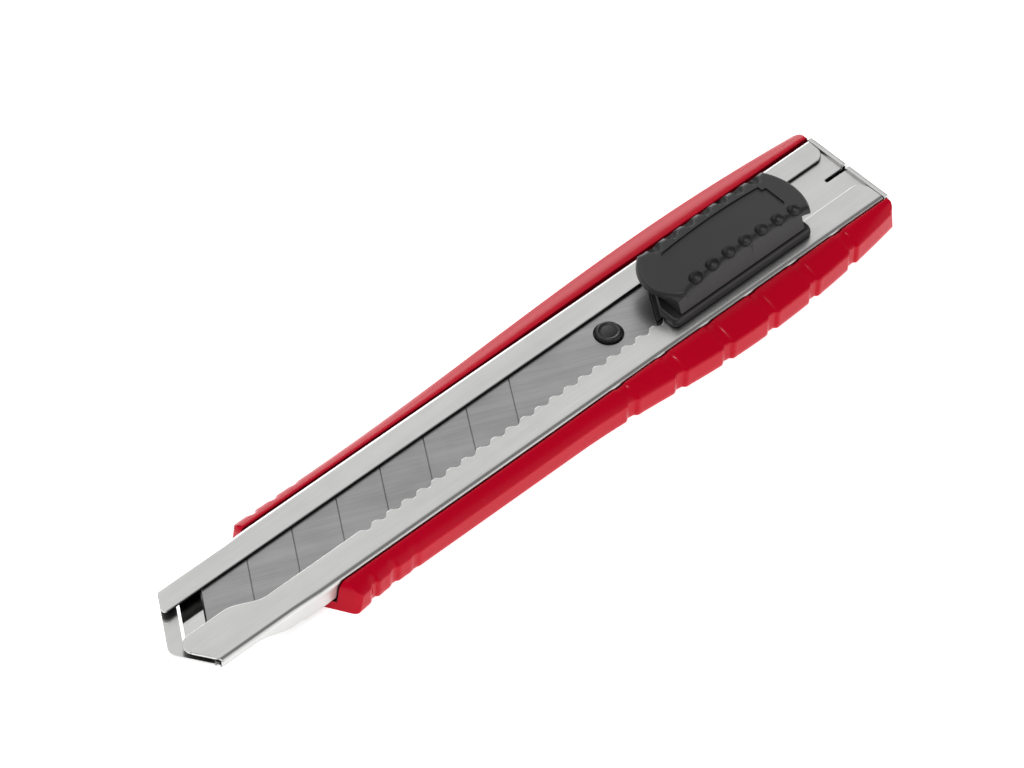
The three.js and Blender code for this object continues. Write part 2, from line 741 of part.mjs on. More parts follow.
function makeCarrier() {
  const half = channelHalf - sheet - carrierSideGap;
  const neckUnder = bladeTop + bladeGap;
  const body = prism(roundedRectangle(carrierFront, carrierRear, -half, half, carrierCorner),
    carrierUnder, carrierTop);
  // Behind the blade the carrier stands up to the blade's top face, cut to the blade's slant.
  const step = block(pinX, carrierRear, -half, half, carrierTop - lap, bladeTop)
    .add(block(pinX, neckRear, neckNear, neckFar, carrierTop - lap, neckUnder + lap))
    .intersect(behindSlant(bladeLength + fitGap, 0));
  const neck = block(sliderFront, neckRear, neckNear, neckFar, neckUnder, baseUnder + pegHeight)
    .intersect(behindSlant(neckFront, 0));
  const radius = pinDiameter / 2;
  const top = bladeTop + pinRise;
  const pin = turned([
    [0, carrierTop - lap], [radius, carrierTop - lap],
    ...arc(radius - pinChamfer, top - pinChamfer, pinChamfer, 0, 70, 3), [0, top],
  ], pinX, sliderCentre);
  return body.add(step).add(neck).add(pin).subtract(springPocket(springFront));
}

function makeBase() {
  const near = sliderCentre - baseHalf;
  const far = sliderCentre + baseHalf;
  const low = roundedRectangle(sliderFront, sliderRear, near, far, baseCorner);
  const high = roundedRectangle(sliderFront + baseLedge, sliderRear - baseLedge,
    near + baseLedge, far - baseLedge, baseCorner);
  const step = baseUnder + baseStep;
  const socket = block(sliderFront, neckRear + fitGap, neckNear - fitGap, neckFar + fitGap,
    -over, baseUnder + pegHeight + fitGap).intersect(behindSlant(neckFront - fitGap, 0));
  const core = prism(roundedRectangle(coreFront, coreRear, sliderCentre - coreHalf,
    sliderCentre + coreHalf, coreCorner), baseTop - lap, coreTop);
  const foot = prism(low, baseUnder, step).add(prism(high, step - lap, baseTop))
    .intersect(behindSlant(sliderFront, -baseToe));
  return foot.add(core).subtract(socket).subtract(springPocket(springFront));
}

/** The plan of the button's top plate, with round ends. */
function platePlan() {
  const sweep = (radius) => THREE.MathUtils.radToDeg(Math.asin(Math.min(1, buttonHalf / radius)));
  const front = sweep(buttonFrontRadius);
  const rear = sweep(buttonRearRadius);
  return outline([
    ...arc(buttonRear - buttonRearRadius, buttonOffset, buttonRearRadius, -rear, rear, 12),
    ...arc(buttonFront + buttonFrontRadius, buttonOffset, buttonFrontRadius,
      180 - front, 180 + front, 14),
  ]);
}

/** The arched space below the button's top, or below a surface parallel to it. */
function underCrown(drop, low) {
  const xs = spread(buttonFront - over, buttonRear + over, 17);
  const reach = buttonHalf + 2 * over;
  return sideways(outline([
    [buttonFront - over, low], [buttonRear + over, low],
    ...xs.reverse().map((x) => [x, crownTop(x) - drop]),
  ]), -reach, reach);
}

/** The button's sloping sides and arched top, with round edges between them. */
function crownedForm() {
  const lean = THREE.MathUtils.radToDeg(Math.atan(buttonSlope));
  return loft(spread(buttonFront - over, buttonRear + over, 19), (x) => {
    const height = crownTop(x) - buttonEdge;
    const centre = buttonHalf - buttonSlope * (height - buttonUnder)
      - buttonEdge * Math.hypot(1, buttonSlope);
    const side = [...arc(centre, height, buttonEdge, 90, lean, 4), [buttonHalf, buttonUnder]];
    return [
      ...side.map(([y, z]) => [buttonOffset + y, z]),
      ...side.map(([y, z]) => [buttonOffset - y, z]).reverse(),
    ];
  });
}

function makeButton() {
  const reach = buttonHalf + over;
  const top = buttonHeight + over;
  const plate = prism(platePlan(), buttonUnder, top)
    .subtract(underCrown(buttonRoof, buttonUnder - 2 * over));
  // The body's front is slanted under the plate, as the blade's ends are.
  const body = prism(roundedRectangle(buttonFront + buttonLip, sliderRear - buttonLip,
    buttonOffset - reach, buttonOffset + reach, buttonBodyCorner), buttonUnder, top)
    .intersect(behindSlant(buttonFront + buttonLip, 0));
  // The middle is hollow for the base's core.
  const front = coreFront - buttonTravel - runningGap;
  const rear = coreRear + buttonTravel + runningGap;
  const inside = coreHalf + runningGap;
  const hollow = block(front, rear, sliderCentre - inside, sliderCentre + inside,
    buttonUnder - over, top).intersect(underCrown(buttonRoof, buttonUnder - 2 * over));
  let button = plate.add(body).intersect(crownedForm()).subtract(hollow);
  // Thumb scoops along both top edges.
  const first = sliderMiddle + thumbScoopShift - ((thumbScoopCount - 1) * thumbScoopPitch) / 2;
  for (let k = 0; k < thumbScoopCount; k += 1) {
    const x = first + k * thumbScoopPitch;
    for (const side of [-1, 1]) {
      const ball = new THREE.SphereGeometry(thumbScoopRadius, 14, 9)
        .rotateX(Math.PI / 2)
        .translate(x, buttonOffset + side * buttonTopHalf, crownTop(x) - thumbScoopSink);
      button = button.subtract(solid(ball));
    }
  }
  // A shallow recessed panel with one stepped corner.
  const x0 = sliderMiddle + thumbScoopShift - panelLength / 2;
  const x1 = x0 + panelLength;
  const y0 = buttonOffset + panelShift - panelWidth / 2;
  const y1 = y0 + panelWidth;
  const panel = prism(outline([
    [x0 + panelCorner, y0], [x1 - panelCorner, y0], [x1, y0 + panelCorner], [x1, y1 - panelStep],
    [x1 - panelStep, y1 - panelStep], [x1 - panelStep, y1], [x0 + panelCorner, y1],
    [x0, y1 - panelCorner], [x0, y0 + panelCorner],
  ]), buttonUnder, top).subtract(underCrown(panelRecess, buttonUnder - 2 * over));
  return button.subtract(panel);
}

// ---- Lock spring ----------------------------------------------------------------------------

/** The room that the spring works in, cut from the carrier's neck and the base above it. */
function springPocket(near) {
  const reach = springReach + springRoom;
  return block(nibX - reach, nibX + reach, near, springBack + springThickness + springFlex,
    springLow - springDrop, springHigh + springDrop);
}

/** A leaf on edge, bowed towards the scallops, with a rounded nib in one of them. */
function makeSpring() {
  const nibCentre = nearFlangeEdge - nibEntry + nibRadius;
  const t = springThickness;
  const leaf = (offset) => [
    [nibX - springReach, springBack + offset],
    [nibX - springShoulder, nibCentre + springBow + offset],
  ];
  const mirror = (points) => points.map(([x, y]) => [2 * nibX - x, y]).reverse();
  return prism(outline([
    ...leaf(0), ...arc(nibX, nibCentre, nibRadius, 190, 350, 8), ...mirror(leaf(0)),
    ...mirror(leaf(t)).reverse(), ...arc(nibX, nibCentre, nibRadius - t, 350, 190, 8),
    ...leaf(t).reverse(),
  ]), springLow, springHigh);
}

// ---- End clip -------------------------------------------------------------------------------

function makeClip() {
  const t = clipSheet;
  const front = channelRear - clipLead;
  const lipTop = -handleRearDrop;
  const lipFront = channelRear + fitGap;
  const foot = channelFloor + fitGap;
  const bend = clipBend;
  const centreX = clipRear - bend;
  const profile = outline([
    [front, clipTop - t], [front, clipTop], [lipFront - fitGap, clipTop], [lipFront, lipTop],
    ...arc(centreX, lipTop - bend, bend, 90, 0, 4),
    ...arc(centreX, foot + bend, bend, 0, -90, 4),
    [channelRear - clipFootLead, foot], [channelRear - clipFootLead, foot + t],
    ...arc(centreX, foot + bend, bend - t, -90, 0, 4),
    ...arc(centreX, lipTop - bend, bend - t, 0, 90, 4),
    [lipFront + clipStepTop, lipTop - t], [lipFront + clipStepFoot, clipTop - t],
  ].reverse());
  const inner = channelHalf - sheet - fitGap;
  const outer = channelHalf - clipInset;
  const body = sideways(profile, -outer, outer);
  const sides = [-1, 1].map((side) => block(front - over, lipFront - sliver,
    side > 0 ? inner : -outer - over, side > 0 ? outer + over : -inner, -channelDepth - over, over));
  const slot = block(clipRear - snapSlotLength, clipRear + over,
    snapSlotOffset - snapSlotWidth / 2, snapSlotOffset + snapSlotWidth / 2, foot + t + 2 * lap, over);
  return body.subtract(sides[0]).subtract(sides[1]).subtract(slot);
}

// ---- Assembly -------------------------------------------------------------------------------

const knife = new THREE.Group();
knife.add(piece('handle_body', makeHandle(), redPaint));
knife.add(piece('blade_channel', makeChannel(), stainless));
rivetPlaces.forEach((x, k) => {
  knife.add(piece(k === 0 ? 'front_rivet' : 'rear_rivet', rivetForm(x, 0), rivetSteel));
});
knife.add(piece('end_clip', makeClip(), stainless));

const slider = new THREE.Group();
slider.add(piece('blade', makeBlade(), bladeSteel));
slider.add(piece('blade_carrier', makeCarrier(), blackPlastic));
slider.add(piece('slider_base', makeBase(), blackPlastic));
slider.add(piece('lock_spring', makeSpring(), springSteel));
slider.add(piece('thumb_button', makeButton(), blackPlastic));
knife.add(slider);

knife.position.set(-(noseTip + clipRear) / 2, 0, handleDepth);

export default knife;
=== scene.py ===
"""Dresses the solids of a snap-off utility knife: fine forms, finishes, light and camera.

Lengths in the classes are millimetres in the model's own frame: X runs from the blade's tip to
the end clip, -Y is the side of the cutting edge, and Z = 0 lies at the channel's flange tops.
"""

from __future__ import annotations

import logging
import math
from dataclasses import dataclass
from enum import Enum
from typing import Any, Callable, Sequence

import bmesh
import bpy
from mathutils import Matrix, Vector


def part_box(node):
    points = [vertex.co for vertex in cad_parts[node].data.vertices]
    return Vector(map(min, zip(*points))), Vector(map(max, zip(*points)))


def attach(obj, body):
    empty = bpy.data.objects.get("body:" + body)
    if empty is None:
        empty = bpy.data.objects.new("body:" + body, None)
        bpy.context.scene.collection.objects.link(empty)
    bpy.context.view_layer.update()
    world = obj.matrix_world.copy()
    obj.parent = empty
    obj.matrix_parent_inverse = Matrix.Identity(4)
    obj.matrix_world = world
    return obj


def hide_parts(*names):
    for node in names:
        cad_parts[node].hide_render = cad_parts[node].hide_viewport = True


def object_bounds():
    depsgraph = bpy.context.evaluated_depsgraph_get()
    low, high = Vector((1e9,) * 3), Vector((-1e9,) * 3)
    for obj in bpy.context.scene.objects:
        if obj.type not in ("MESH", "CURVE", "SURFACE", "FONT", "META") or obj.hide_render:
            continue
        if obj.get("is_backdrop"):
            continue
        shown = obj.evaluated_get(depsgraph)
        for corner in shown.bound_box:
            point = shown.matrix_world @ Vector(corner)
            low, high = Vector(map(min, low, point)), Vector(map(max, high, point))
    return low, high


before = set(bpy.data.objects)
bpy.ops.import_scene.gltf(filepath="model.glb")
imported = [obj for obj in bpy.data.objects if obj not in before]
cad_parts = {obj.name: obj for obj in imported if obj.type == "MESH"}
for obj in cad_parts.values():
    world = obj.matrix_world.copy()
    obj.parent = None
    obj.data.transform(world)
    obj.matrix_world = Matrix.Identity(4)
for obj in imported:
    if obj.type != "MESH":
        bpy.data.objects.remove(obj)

MM = 0.001
CENTIMETRE = 0.01
LOG = logging.getLogger("knife")

BLADE_LEAN = 5.7336        # how far the blade's tip stands before its middle
BLADE_DROP = 0.7           # from the flange tops down to the blade
RIVETS = (46.0, 137.0)     # places of the two rivets along the knife
WELD = 0.002               # points closer together than this are one
PAST = 1.0                 # how far a cutting tool reaches past what it cuts
OUTSIDE = 20.0             # half width of tools that are wider than the handle

Pair = tuple[float, float]
Triple = tuple[float, float, float]
Stops = tuple[Pair, ...]
Link = Any


# ---- Shader maths ---------------------------------------------------------------------------


class Field:
    """A shader value that takes part in Python arithmetic."""

    def __init__(self, tree: "ShaderTree", socket: bpy.types.NodeSocket | None) -> None:
        """Wraps one output socket of a tree, or nothing at the tree's end."""
        self.tree = tree
        self.socket = socket

    def _math(self, operation: str, first: Link, second: Link) -> "Field":
        """Adds a Math node.

        Args:
            operation: The node's operation.
            first: Its first value or field.
            second: Its second value or field.

        Returns:
            The node's result.
        """
        return self.tree.node("ShaderNodeMath", {"operation": operation}, {0: first, 1: second})

    def __add__(self, other: Link) -> "Field":
        """Returns this plus other."""
        return self._math("ADD", self, other)

    def __radd__(self, other: Link) -> "Field":
        """Returns other plus this."""
        return self._math("ADD", other, self)

    def __sub__(self, other: Link) -> "Field":
        """Returns this minus other."""
        return self._math("SUBTRACT", self, other)

    def __rsub__(self, other: Link) -> "Field":
        """Returns other minus this."""
        return self._math("SUBTRACT", other, self)

    def __mul__(self, other: Link) -> "Field":
        """Returns this times other."""
        return self._math("MULTIPLY", self, other)

    def __rmul__(self, other: Link) -> "Field":
        """Returns other times this."""
        return self._math("MULTIPLY", other, self)

    def __truediv__(self, other: Link) -> "Field":
        """Returns this over other."""
        return self._math("DIVIDE", self, other)

    def __rtruediv__(self, other: Link) -> "Field":
        """Returns other over this."""
        return self._math("DIVIDE", other, self)

    def __pow__(self, other: Link) -> "Field":
        """Returns this to the power of other."""
        return self._math("POWER", self, other)

    def __rpow__(self, other: Link) -> "Field":
        """Returns other to the power of this."""
        return self._math("POWER", other, self)


class ShaderTree:
    """A material's nodes, added by one method."""

    def __init__(self, name: str) -> None:
        """Makes an empty material with that name."""
        self.material = bpy.data.materials.new(name)
        self.material.use_nodes = True
        self.nodes = self.material.node_tree.nodes
        self.links = self.material.node_tree.links
        self.nodes.clear()

    def node(
        self,
        kind: str,
        settings: dict[str, Any] | None = None,
        inputs: dict[int | str, Link] | None = None,
        output: int | str = 0,
    ) -> Field:
        """Adds a node.

        Args:
            kind: The node's type.
            settings: Attributes to set first; "stops" gives a ramp's positions and colours.
            inputs: Values or fields by socket.
            output: The socket to return.

        Returns:
            The chosen output.
        """
        node = self.nodes.new(kind)
        for key, value in (settings or {}).items():
            if key == "stops":
                self._set_stops(node.color_ramp, value)
            else:
                setattr(node, key, value)
        for key, value in (inputs or {}).items():
            if isinstance(value, Field):
                self.links.new(value.socket, node.inputs[key])
            else:
                node.inputs[key].default_value = value
        return Field(self, node.outputs[output] if len(node.outputs) else None)

    @staticmethod
    def _set_stops(ramp: bpy.types.ColorRamp, stops: Sequence[tuple[float, float]]) -> None:
        """Sets a ramp's positions and grey levels.

        Args:
            ramp: The ramp.
            stops: Pairs of position and grey level.
        """
        while len(ramp.elements) < len(stops):
            ramp.elements.new(1.0)
        for element, (position, level) in zip(ramp.elements, stops):
            element.position = position
            element.color = (level, level, level, 1.0)

    def place(self, scale: Triple, turn: float = 0.0) -> Field:
        """Object coordinates, stretched and turned.

        Args:
            scale: Repeats per metre along each axis.
            turn: Rotation about Z in degrees, before the stretch.

        Returns:
            The coordinates.
        """
        spot = self.node("ShaderNodeTexCoord", output="Object")
        turned = self.node(
            "ShaderNodeVectorRotate",
            {"rotation_type": "Z_AXIS"},
            {"Vector": spot, "Angle": math.radians(turn)},
        )
        return self.vector("MULTIPLY", turned, scale)

    def vector(self, operation: str, first: Link, second: Link | None = None) -> Field:
        """Adds a Vector Math node.

        Args:
            operation: The node's operation.
            first: Its first vector or field.
            second: Its second one, where the operation has two.

        Returns:
            The node's result.
        """
        inputs = {0: first} if second is None else {0: first, 1: second}
        return self.node("ShaderNodeVectorMath", {"operation": operation}, inputs)

    def spot(self, axis: str, size: float) -> Field:
        """Distance from the knife's middle plane or the floor, as a share of some size.

        Args:
            axis: X, Y or Z.
            size: The distance, in metres, that counts as 1.

        Returns:
            The share, never negative.
        """
        place = self.node("ShaderNodeTexCoord", output="Object")
        part = self.node("ShaderNodeSeparateXYZ", None, {0: place}, output=axis)
        return self.node("ShaderNodeMath", {"operation": "ABSOLUTE"}, {0: part}) / size

    def noise(self, at: Field, scale: float = 1.0, detail: float = 3.0) -> Field:
        """A noise value between about 0 and 1.

        Args:
            at: Where it is read.
            scale: Repeats per unit of those coordinates.
            detail: Octaves.

        Returns:
            The value.
        """
        return self.node(
            "ShaderNodeTexNoise", None, {"Vector": at, "Scale": scale, "Detail": detail}
        )

    def ramp(self, value: Field, stops: Sequence[tuple[float, float]]) -> Field:
        """A value reshaped between stops.

        Args:
            value: The input.
            stops: Pairs of position and level.

        Returns:
            The reshaped value.
        """
        return self.node("ShaderNodeValToRGB", {"stops": stops}, {0: value})

    def blend(self, factor: Link, first: Link, second: Link) -> Field:
        """Two colours mixed.

        Args:
            factor: Share of the second.
            first: Colour or field.
            second: Colour or field.

        Returns:
            The mixed colour.
        """
        return self.node(
            "ShaderNodeMix",
            {"data_type": "RGBA"},
            {"Factor": factor, 6: first, 7: second},
            output=2,
        )

    def bump(self, height: Field, strength: float, distance: float) -> Field:
        """A normal from a height.

        Args:
            height: The height field.
            strength: Share of the effect.
            distance: Height in metres of a full step.

        Returns:
            The normal.
        """
        return self.node(
            "ShaderNodeBump",
            None,
            {"Height": height, "Strength": strength, "Distance": distance},
        )

    def surface(self, inputs: dict[str, Link]) -> bpy.types.Material:
        """Ends the tree in a Principled shader.

        Args:
            inputs: Values or fields by socket name.

        Returns:
            The finished material.
        """
        shader = self.node("ShaderNodeBsdfPrincipled", None, inputs)
        self.node("ShaderNodeOutputMaterial", None, {"Surface": shader})
        return self.material


def rgba(color: Triple) -> tuple[float, float, float, float]:
    """Returns an opaque colour."""
    return (*color, 1.0)


# ---- Finishes -------------------------------------------------------------------------------


class Grain(Enum):
    """Which way a metal was worked, in degrees from the knife's length."""

    ALONG = 0.0
    ACROSS = 90.0
    GROUND = 24.0


@dataclass(frozen=True)
class GlossPaint:
    """Sprayed paint on die-cast metal, with a faint orange peel.

    Inside the trough the colour itself is dark: that shade is painted by place, not lit.
    """

    name: str = "gloss_paint"
    color: Triple = (0.61, 0.0, 0.019)
    deep: Triple = (0.54, 0.0, 0.016)
    shade: Triple = (0.002, 0.0, 0.0)
    trough: float = 0.01022
    roughness: float = 0.16
    sheen: float = 0.11
    peel: float = 4e-6
    walls: Stops = ((0.49, 1.0), (0.5, 0.0))
    floor: Stops = ((0.17, 0.0), (0.18, 1.0))

    def make(self) -> bpy.types.Material:
        """Returns the material."""
        tree = ShaderTree(self.name)
        wide = tree.noise(tree.place((60.0, 60.0, 60.0)))
        fine = tree.noise(tree.place((900.0, 900.0, 900.0)), detail=2.0)
        reach = tree.spot("Y", self.trough * 2.0)
        inside = tree.ramp(reach, self.walls) * tree.ramp(tree.spot("Z", CENTIMETRE), self.floor)
        red = tree.blend(wide, rgba(self.deep), rgba(self.color))
        return tree.surface({
            "Base Color": tree.blend(inside, red, rgba(self.shade)),
            "Roughness": fine * 0.08 + self.roughness,
            "Specular IOR Level": self.sheen,
            "Normal": tree.bump(fine, 0.6, self.peel),
        })


@dataclass(frozen=True)
class ShadeAndPolish:
    """Painted shade and a smoother polish on a folded sheet, by place: shares of a centimetre, in
    height and sideways.
    """

    flange_under: Stops = ((0.595, 0.0), (0.6, 1.0), (0.613, 1.0), (0.615, 0.0))
    between_walls: Stops = ((0.944, 1.0), (0.95, 0.0))
    wall: Stops = ((0.895, 0.0), (0.905, 1.0), (0.914, 1.0), (0.918, 0.0))
    wall_height: Stops = ((0.6, 1.0), (0.613, 0.0))
    far_edge: Stops = ((0.463, 0.0), (0.465, 1.0), (0.474, 1.0), (0.476, 0.0))
    far_edge_height: Stops = ((0.6, 0.0), (0.61, 1.0), (0.652, 1.0), (0.656, 0.0))
    bottom: Stops = ((0.245, 1.0), (0.255, 0.0))
    polished: Stops = ((0.38, 1.0), (0.4, 0.0))
    # colour of the painted shade under the flanges, on the inner walls, on the bottom and on the
    # far flange's edge
    dark: Triple = (0.03, 0.03, 0.03)
    polish: float = 0.08


@dataclass(frozen=True)
class Steel:
    """Steel sheet with a fine grain, and shade painted by place where the sheet is folded."""

    name: str
    light: Triple
    dark: Triple
    roughness: float
    grain: Grain
    streaks: float = 0.35
    relief: float = 2e-6
    shade_and_polish: ShadeAndPolish | None = None

    def make(self) -> bpy.types.Material:
        """Returns the material."""
        tree = ShaderTree(self.name)
        lines = tree.noise(tree.place((90.0, 2600.0, 2600.0), self.grain.value), detail=4.0)
        broad = tree.noise(tree.place((25.0, 420.0, 420.0), self.grain.value), detail=2.0)
        clouds = tree.noise(tree.place((140.0, 140.0, 140.0)), detail=4.0)
        share = tree.ramp(lines * self.streaks + broad * self.streaks + clouds * 0.3,
                          [(0.3, 0.0), (0.7, 1.0)])
        color = tree.blend(share, rgba(self.dark), rgba(self.light))
        rough = share * -0.08 + (self.roughness + 0.04)
        # Painted shade: the colour goes dark under the flanges, on the inner walls, on the bottom
        # and on the far flange's edge; low inside, the roughness drops.
        if self.shade_and_polish:
            shade_and_polish = self.shade_and_polish
            level, reach = tree.spot("Z", CENTIMETRE), tree.spot("Y", CENTIMETRE)
            inside = tree.ramp(reach, shade_and_polish.between_walls)
            under = tree.ramp(level, shade_and_polish.flange_under) * inside
            wall = tree.ramp(reach, shade_and_polish.wall) * tree.ramp(level, shade_and_polish.wall_height)
            bottom = tree.ramp(level, shade_and_polish.bottom) * inside
            edge = tree.ramp(reach, shade_and_polish.far_edge) * tree.ramp(level, shade_and_polish.far_edge_height)
            color = tree.blend(under + wall + bottom + edge, color, rgba(shade_and_polish.dark))
            rough = rough - tree.ramp(level, shade_and_polish.polished) * inside * (
                self.roughness - shade_and_polish.polish)
        return tree.surface({
            "Base Color": color,
            "Metallic": 1.0,
            "Roughness": rough,
            "Normal": tree.bump(lines, 0.5, self.relief),
        })


@dataclass(frozen=True)
class MouldedPlastic:
    """Black moulded plastic with a fine spark-eroded texture."""

    name: str = "moulded_plastic"
    color: Triple = (0.012, 0.012, 0.013)
    roughness: float = 0.42

    def make(self) -> bpy.types.Material:
        """Returns the material."""
        tree = ShaderTree(self.name)
        fine = tree.noise(tree.place((2200.0, 2200.0, 2200.0)), detail=2.0)
        wide = tree.noise(tree.place((180.0, 180.0, 180.0)), detail=4.0)
        return tree.surface({
            "Base Color": tree.blend(wide, rgba(self.color), rgba((0.022, 0.022, 0.023))),
            "Roughness": wide * 0.16 + (self.roughness - 0.08),
            "Normal": tree.bump(fine, 0.35, 8e-6),
        })


@dataclass(frozen=True)
class FloorPaper:
    """A plain pale sheet on a light table, whose glow is put out by place under the knife as a
    painted shadow.
    """

    name: str = "floor_paper"
    color: Triple = (0.93, 0.93, 0.93)
    glow: float = 0.85
    shade_centre: Triple = (0.0085, 0.0, 0.0)
    shade_half: Triple = (0.0660, 0.0085, 1.0)
    shade_edge: float = 0.002

    def make(self) -> bpy.types.Material:
        """Returns the material."""
        tree = ShaderTree(self.name)
        fibres = tree.noise(tree.place((300.0, 300.0, 300.0)))
        pale = tuple(0.985 * part for part in self.color)
        spot = tree.node("ShaderNodeTexCoord", output="Object")
        away = tree.vector("SUBTRACT", spot, self.shade_centre)
        away = tree.vector("SUBTRACT", self.shade_half, tree.vector("ABSOLUTE", away))
        inside = tree.node("ShaderNodeSeparateXYZ", None, {0: away})
        across = tree.node("ShaderNodeSeparateXYZ", None, {0: away}, output=1)
        nearest = tree.node("ShaderNodeMath", {"operation": "MINIMUM"}, {0: inside, 1: across})
        # Painted shadow: the glow fades to nothing in a patch under the knife.
        shade = tree.node("ShaderNodeMath", {"operation": "DIVIDE", "use_clamp": True},
                          {0: nearest, 1: self.shade_edge})
        return tree.surface({
            "Base Color": tree.blend(fibres, rgba(pale), rgba(self.color)),
            "Roughness": 0.9,
            "Emission Color": tree.blend(shade, rgba(self.color), rgba((0.0, 0.0, 0.0))),
            "Emission Strength": self.glow,
        })


# ---- Meshes ---------------------------------------------------------------------------------


def spread(low: float, high: float, count: int) -> list[float]:
    """Returns evenly spaced values, both ends included."""
    return [low + (high - low) * k / (count - 1) for k in range(count)]


def ease(low: float, high: float, value: float) -> float:
    """Returns a smooth rise from 0 at low to 1 at high."""
    share = min(max((value - low) / (high - low), 0.0), 1.0)
    return share * share * (3.0 - 2.0 * share)


def arc(across: float, up: float, radius: float, start: float, stop: float,
        steps: int = 8) -> list[Pair]:
    """Points round part of a circle.

    Args:
        across: First coordinate of the centre.
        up: Second coordinate of the centre.
        radius: Its radius.
        start: Angle of the first point in degrees.
        stop: Angle of the last point in degrees.
        steps: Facets along it.

    Returns:
        The points.
    """
    angles = [math.radians(angle) for angle in spread(start, stop, steps + 1)]
    return [(across + radius * math.cos(a), up + radius * math.sin(a)) for a in angles]


def round_box(x0: float, x1: float, y0: float, y1: float, radius: float) -> list[Pair]:
    """Returns the outline of a rectangle with round corners."""
    return [
        *arc(x1 - radius, y0 + radius, radius, -90.0, 0.0),
        *arc(x1 - radius, y1 - radius, radius, 0.0, 90.0),
        *arc(x0 + radius, y1 - radius, radius, 90.0, 180.0),
        *arc(x0 + radius, y0 + radius, radius, 180.0, 270.0),
    ]


class Form:
    """A closed shape in the making, in the knife's millimetres."""

    def __init__(self, points: Sequence[Sequence[float]], faces: Sequence[Sequence[int]]) -> None:
        """Makes the shape from points and faces."""
        mesh = bpy.data.meshes.new("form")
        mesh.from_pydata([tuple(point) for point in points], [], [tuple(face) for face in faces])
        self.thing = add_object("form", mesh)
        self.edit(lambda work: bmesh.ops.recalc_face_normals(work, faces=work.faces))

    @classmethod
    def loft(cls, rings: Sequence[Sequence[Sequence[float]]], mirror: int | None = None) -> "Form":
        """Skins rings of equally many points and closes both ends.

        Args:
            rings: The rings, in order.
            mirror: What the numbers of two points that face each other across a ring add up
                to, for ends that are arched; flat ends need none.

        Returns:
            The shape.
        """
        count = len(rings[0])
        points = [point for ring in rings for point in ring]
        faces: list[Sequence[int]] = []
        for k in range(len(rings) - 1):
            for i in range(count):
                a, b = k * count + i, k * count + (i + 1) % count
                faces.append((a, b, b + count, a + count))
        for first in (0, (len(rings) - 1) * count):
            if mirror is None:
                faces.append(tuple(range(first, first + count)))
                continue
            for k in range(mirror // 2, mirror // 2 + count // 2):
                corners = (k % count, (k + 1) % count, (mirror - k - 1) % count,
                           (mirror - k) % count)
                faces.append([first + corner for corner in dict.fromkeys(corners)])
        return cls(points, faces)

    @classmethod
    def prism(cls, outline: Sequence[Pair], low: float, high: float, lean: float = 0.0) -> "Form":
        """Raises a plan outline from one height to another.

        Args:
            outline: Points in X and Y.
            low: Lower height.
            high: Upper height.
            lean: How far the top stands behind the foot along X.

        Returns:
            The shape.
        """
        return cls.loft([[(x, y, low) for x, y in outline],
                         [(x + lean, y, high) for x, y in outline]])

    @classmethod
    def bar(cls, outline: Sequence[Pair], low: float, high: float) -> "Form":
        """Returns an end-view outline in Y and Z, carried along X."""
        return cls.loft([[(x, y, z) for y, z in outline] for x in (low, high)])

    @classmethod
    def across(cls, outline: Sequence[Pair], low: float, high: float,
               slope: float = 0.0) -> "Form":
        """Carries a side-view outline in X and Z along Y.

        Args:
            outline: Points in X and Z.
            low: Y of its near end.
            high: Y of its far end.
            slope: How far it moves along X for each millimetre of Y.

        Returns:
            The shape.
        """
        return cls.loft([[(x + slope * y, y, z) for x, z in outline] for y in (low, high)])

    @classmethod
    def rod(cls, place: Pair, radius: float, low: float, high: float) -> "Form":
        """Returns an upright rod, for cutting round holes."""
        return cls.turned([(0.0, low), (radius, low), (radius, high), (0.0, high)], *place)

    @classmethod
    def turned(cls, profile: Sequence[Pair], x: float, y: float, steps: int = 48) -> "Form":
        """Turns a profile that starts and ends on the axis.

        Args:
            profile: Pairs of radius and height.
            x: Place of the axis.
            y: Place of the axis.
            steps: Facets round it.

        Returns:
            The shape.
        """
        points = [(x, y, profile[0][1]), (x, y, profile[-1][1])]
        middle = profile[1:-1]
        for k in range(steps):
            turn = math.tau * k / steps
            points += [(x + r * math.cos(turn), y + r * math.sin(turn), z) for r, z in middle]
        faces: list[Sequence[int]] = []
        rows = len(middle)
        for k in range(steps):
            a, b = 2 + k * rows, 2 + (k + 1) % steps * rows
            faces += [(0, a, b), (1, b + rows - 1, a + rows - 1)]
            faces += [(a + i, a + i + 1, b + i + 1, b + i) for i in range(rows - 1)]
        return cls(points, faces)

    @classmethod
    def block(cls, x: Pair, y: Pair, z: Pair) -> "Form":
        """Returns a block between pairs of limits, for cutting."""
        return cls.prism([(x[0], y[0]), (x[1], y[0]), (x[1], y[1]), (x[0], y[1])], *z)

    def edit(self, change: Callable[[bmesh.types.BMesh], Any]) -> "Form":
        """Changes the mesh.

        Args:
            change: What to do with it.

        Returns:
            This shape.
        """
        work = bmesh.new()
        work.from_mesh(self.thing.data)
        change(work)
        work.to_mesh(self.thing.data)
        work.free()
        return self

    def combine(self, tool: "Form", operation: str) -> "Form":
        """Joins with, cuts by or keeps what lies in another shape, which is used up.

        Args:
            tool: The other shape.
            operation: UNION, DIFFERENCE or INTERSECT.

        Returns:
            This shape.
        """
        modifier = self.thing.modifiers.new("combine", "BOOLEAN")
        modifier.operation = operation
        modifier.solver = "MANIFOLD"
        modifier.object = tool.thing
        apply_modifiers(self.thing)
        bpy.data.objects.remove(tool.thing)
        return self

    def add(self, tool: "Form") -> "Form":
        """Joins another shape on."""
        return self.combine(tool, "UNION")

    def cut(self, tool: "Form") -> "Form":
        """Cuts another shape away."""
        return self.combine(tool, "DIFFERENCE")

    def keep(self, tool: "Form") -> "Form":
        """Keeps what lies in another shape."""
        return self.combine(tool, "INTERSECT")

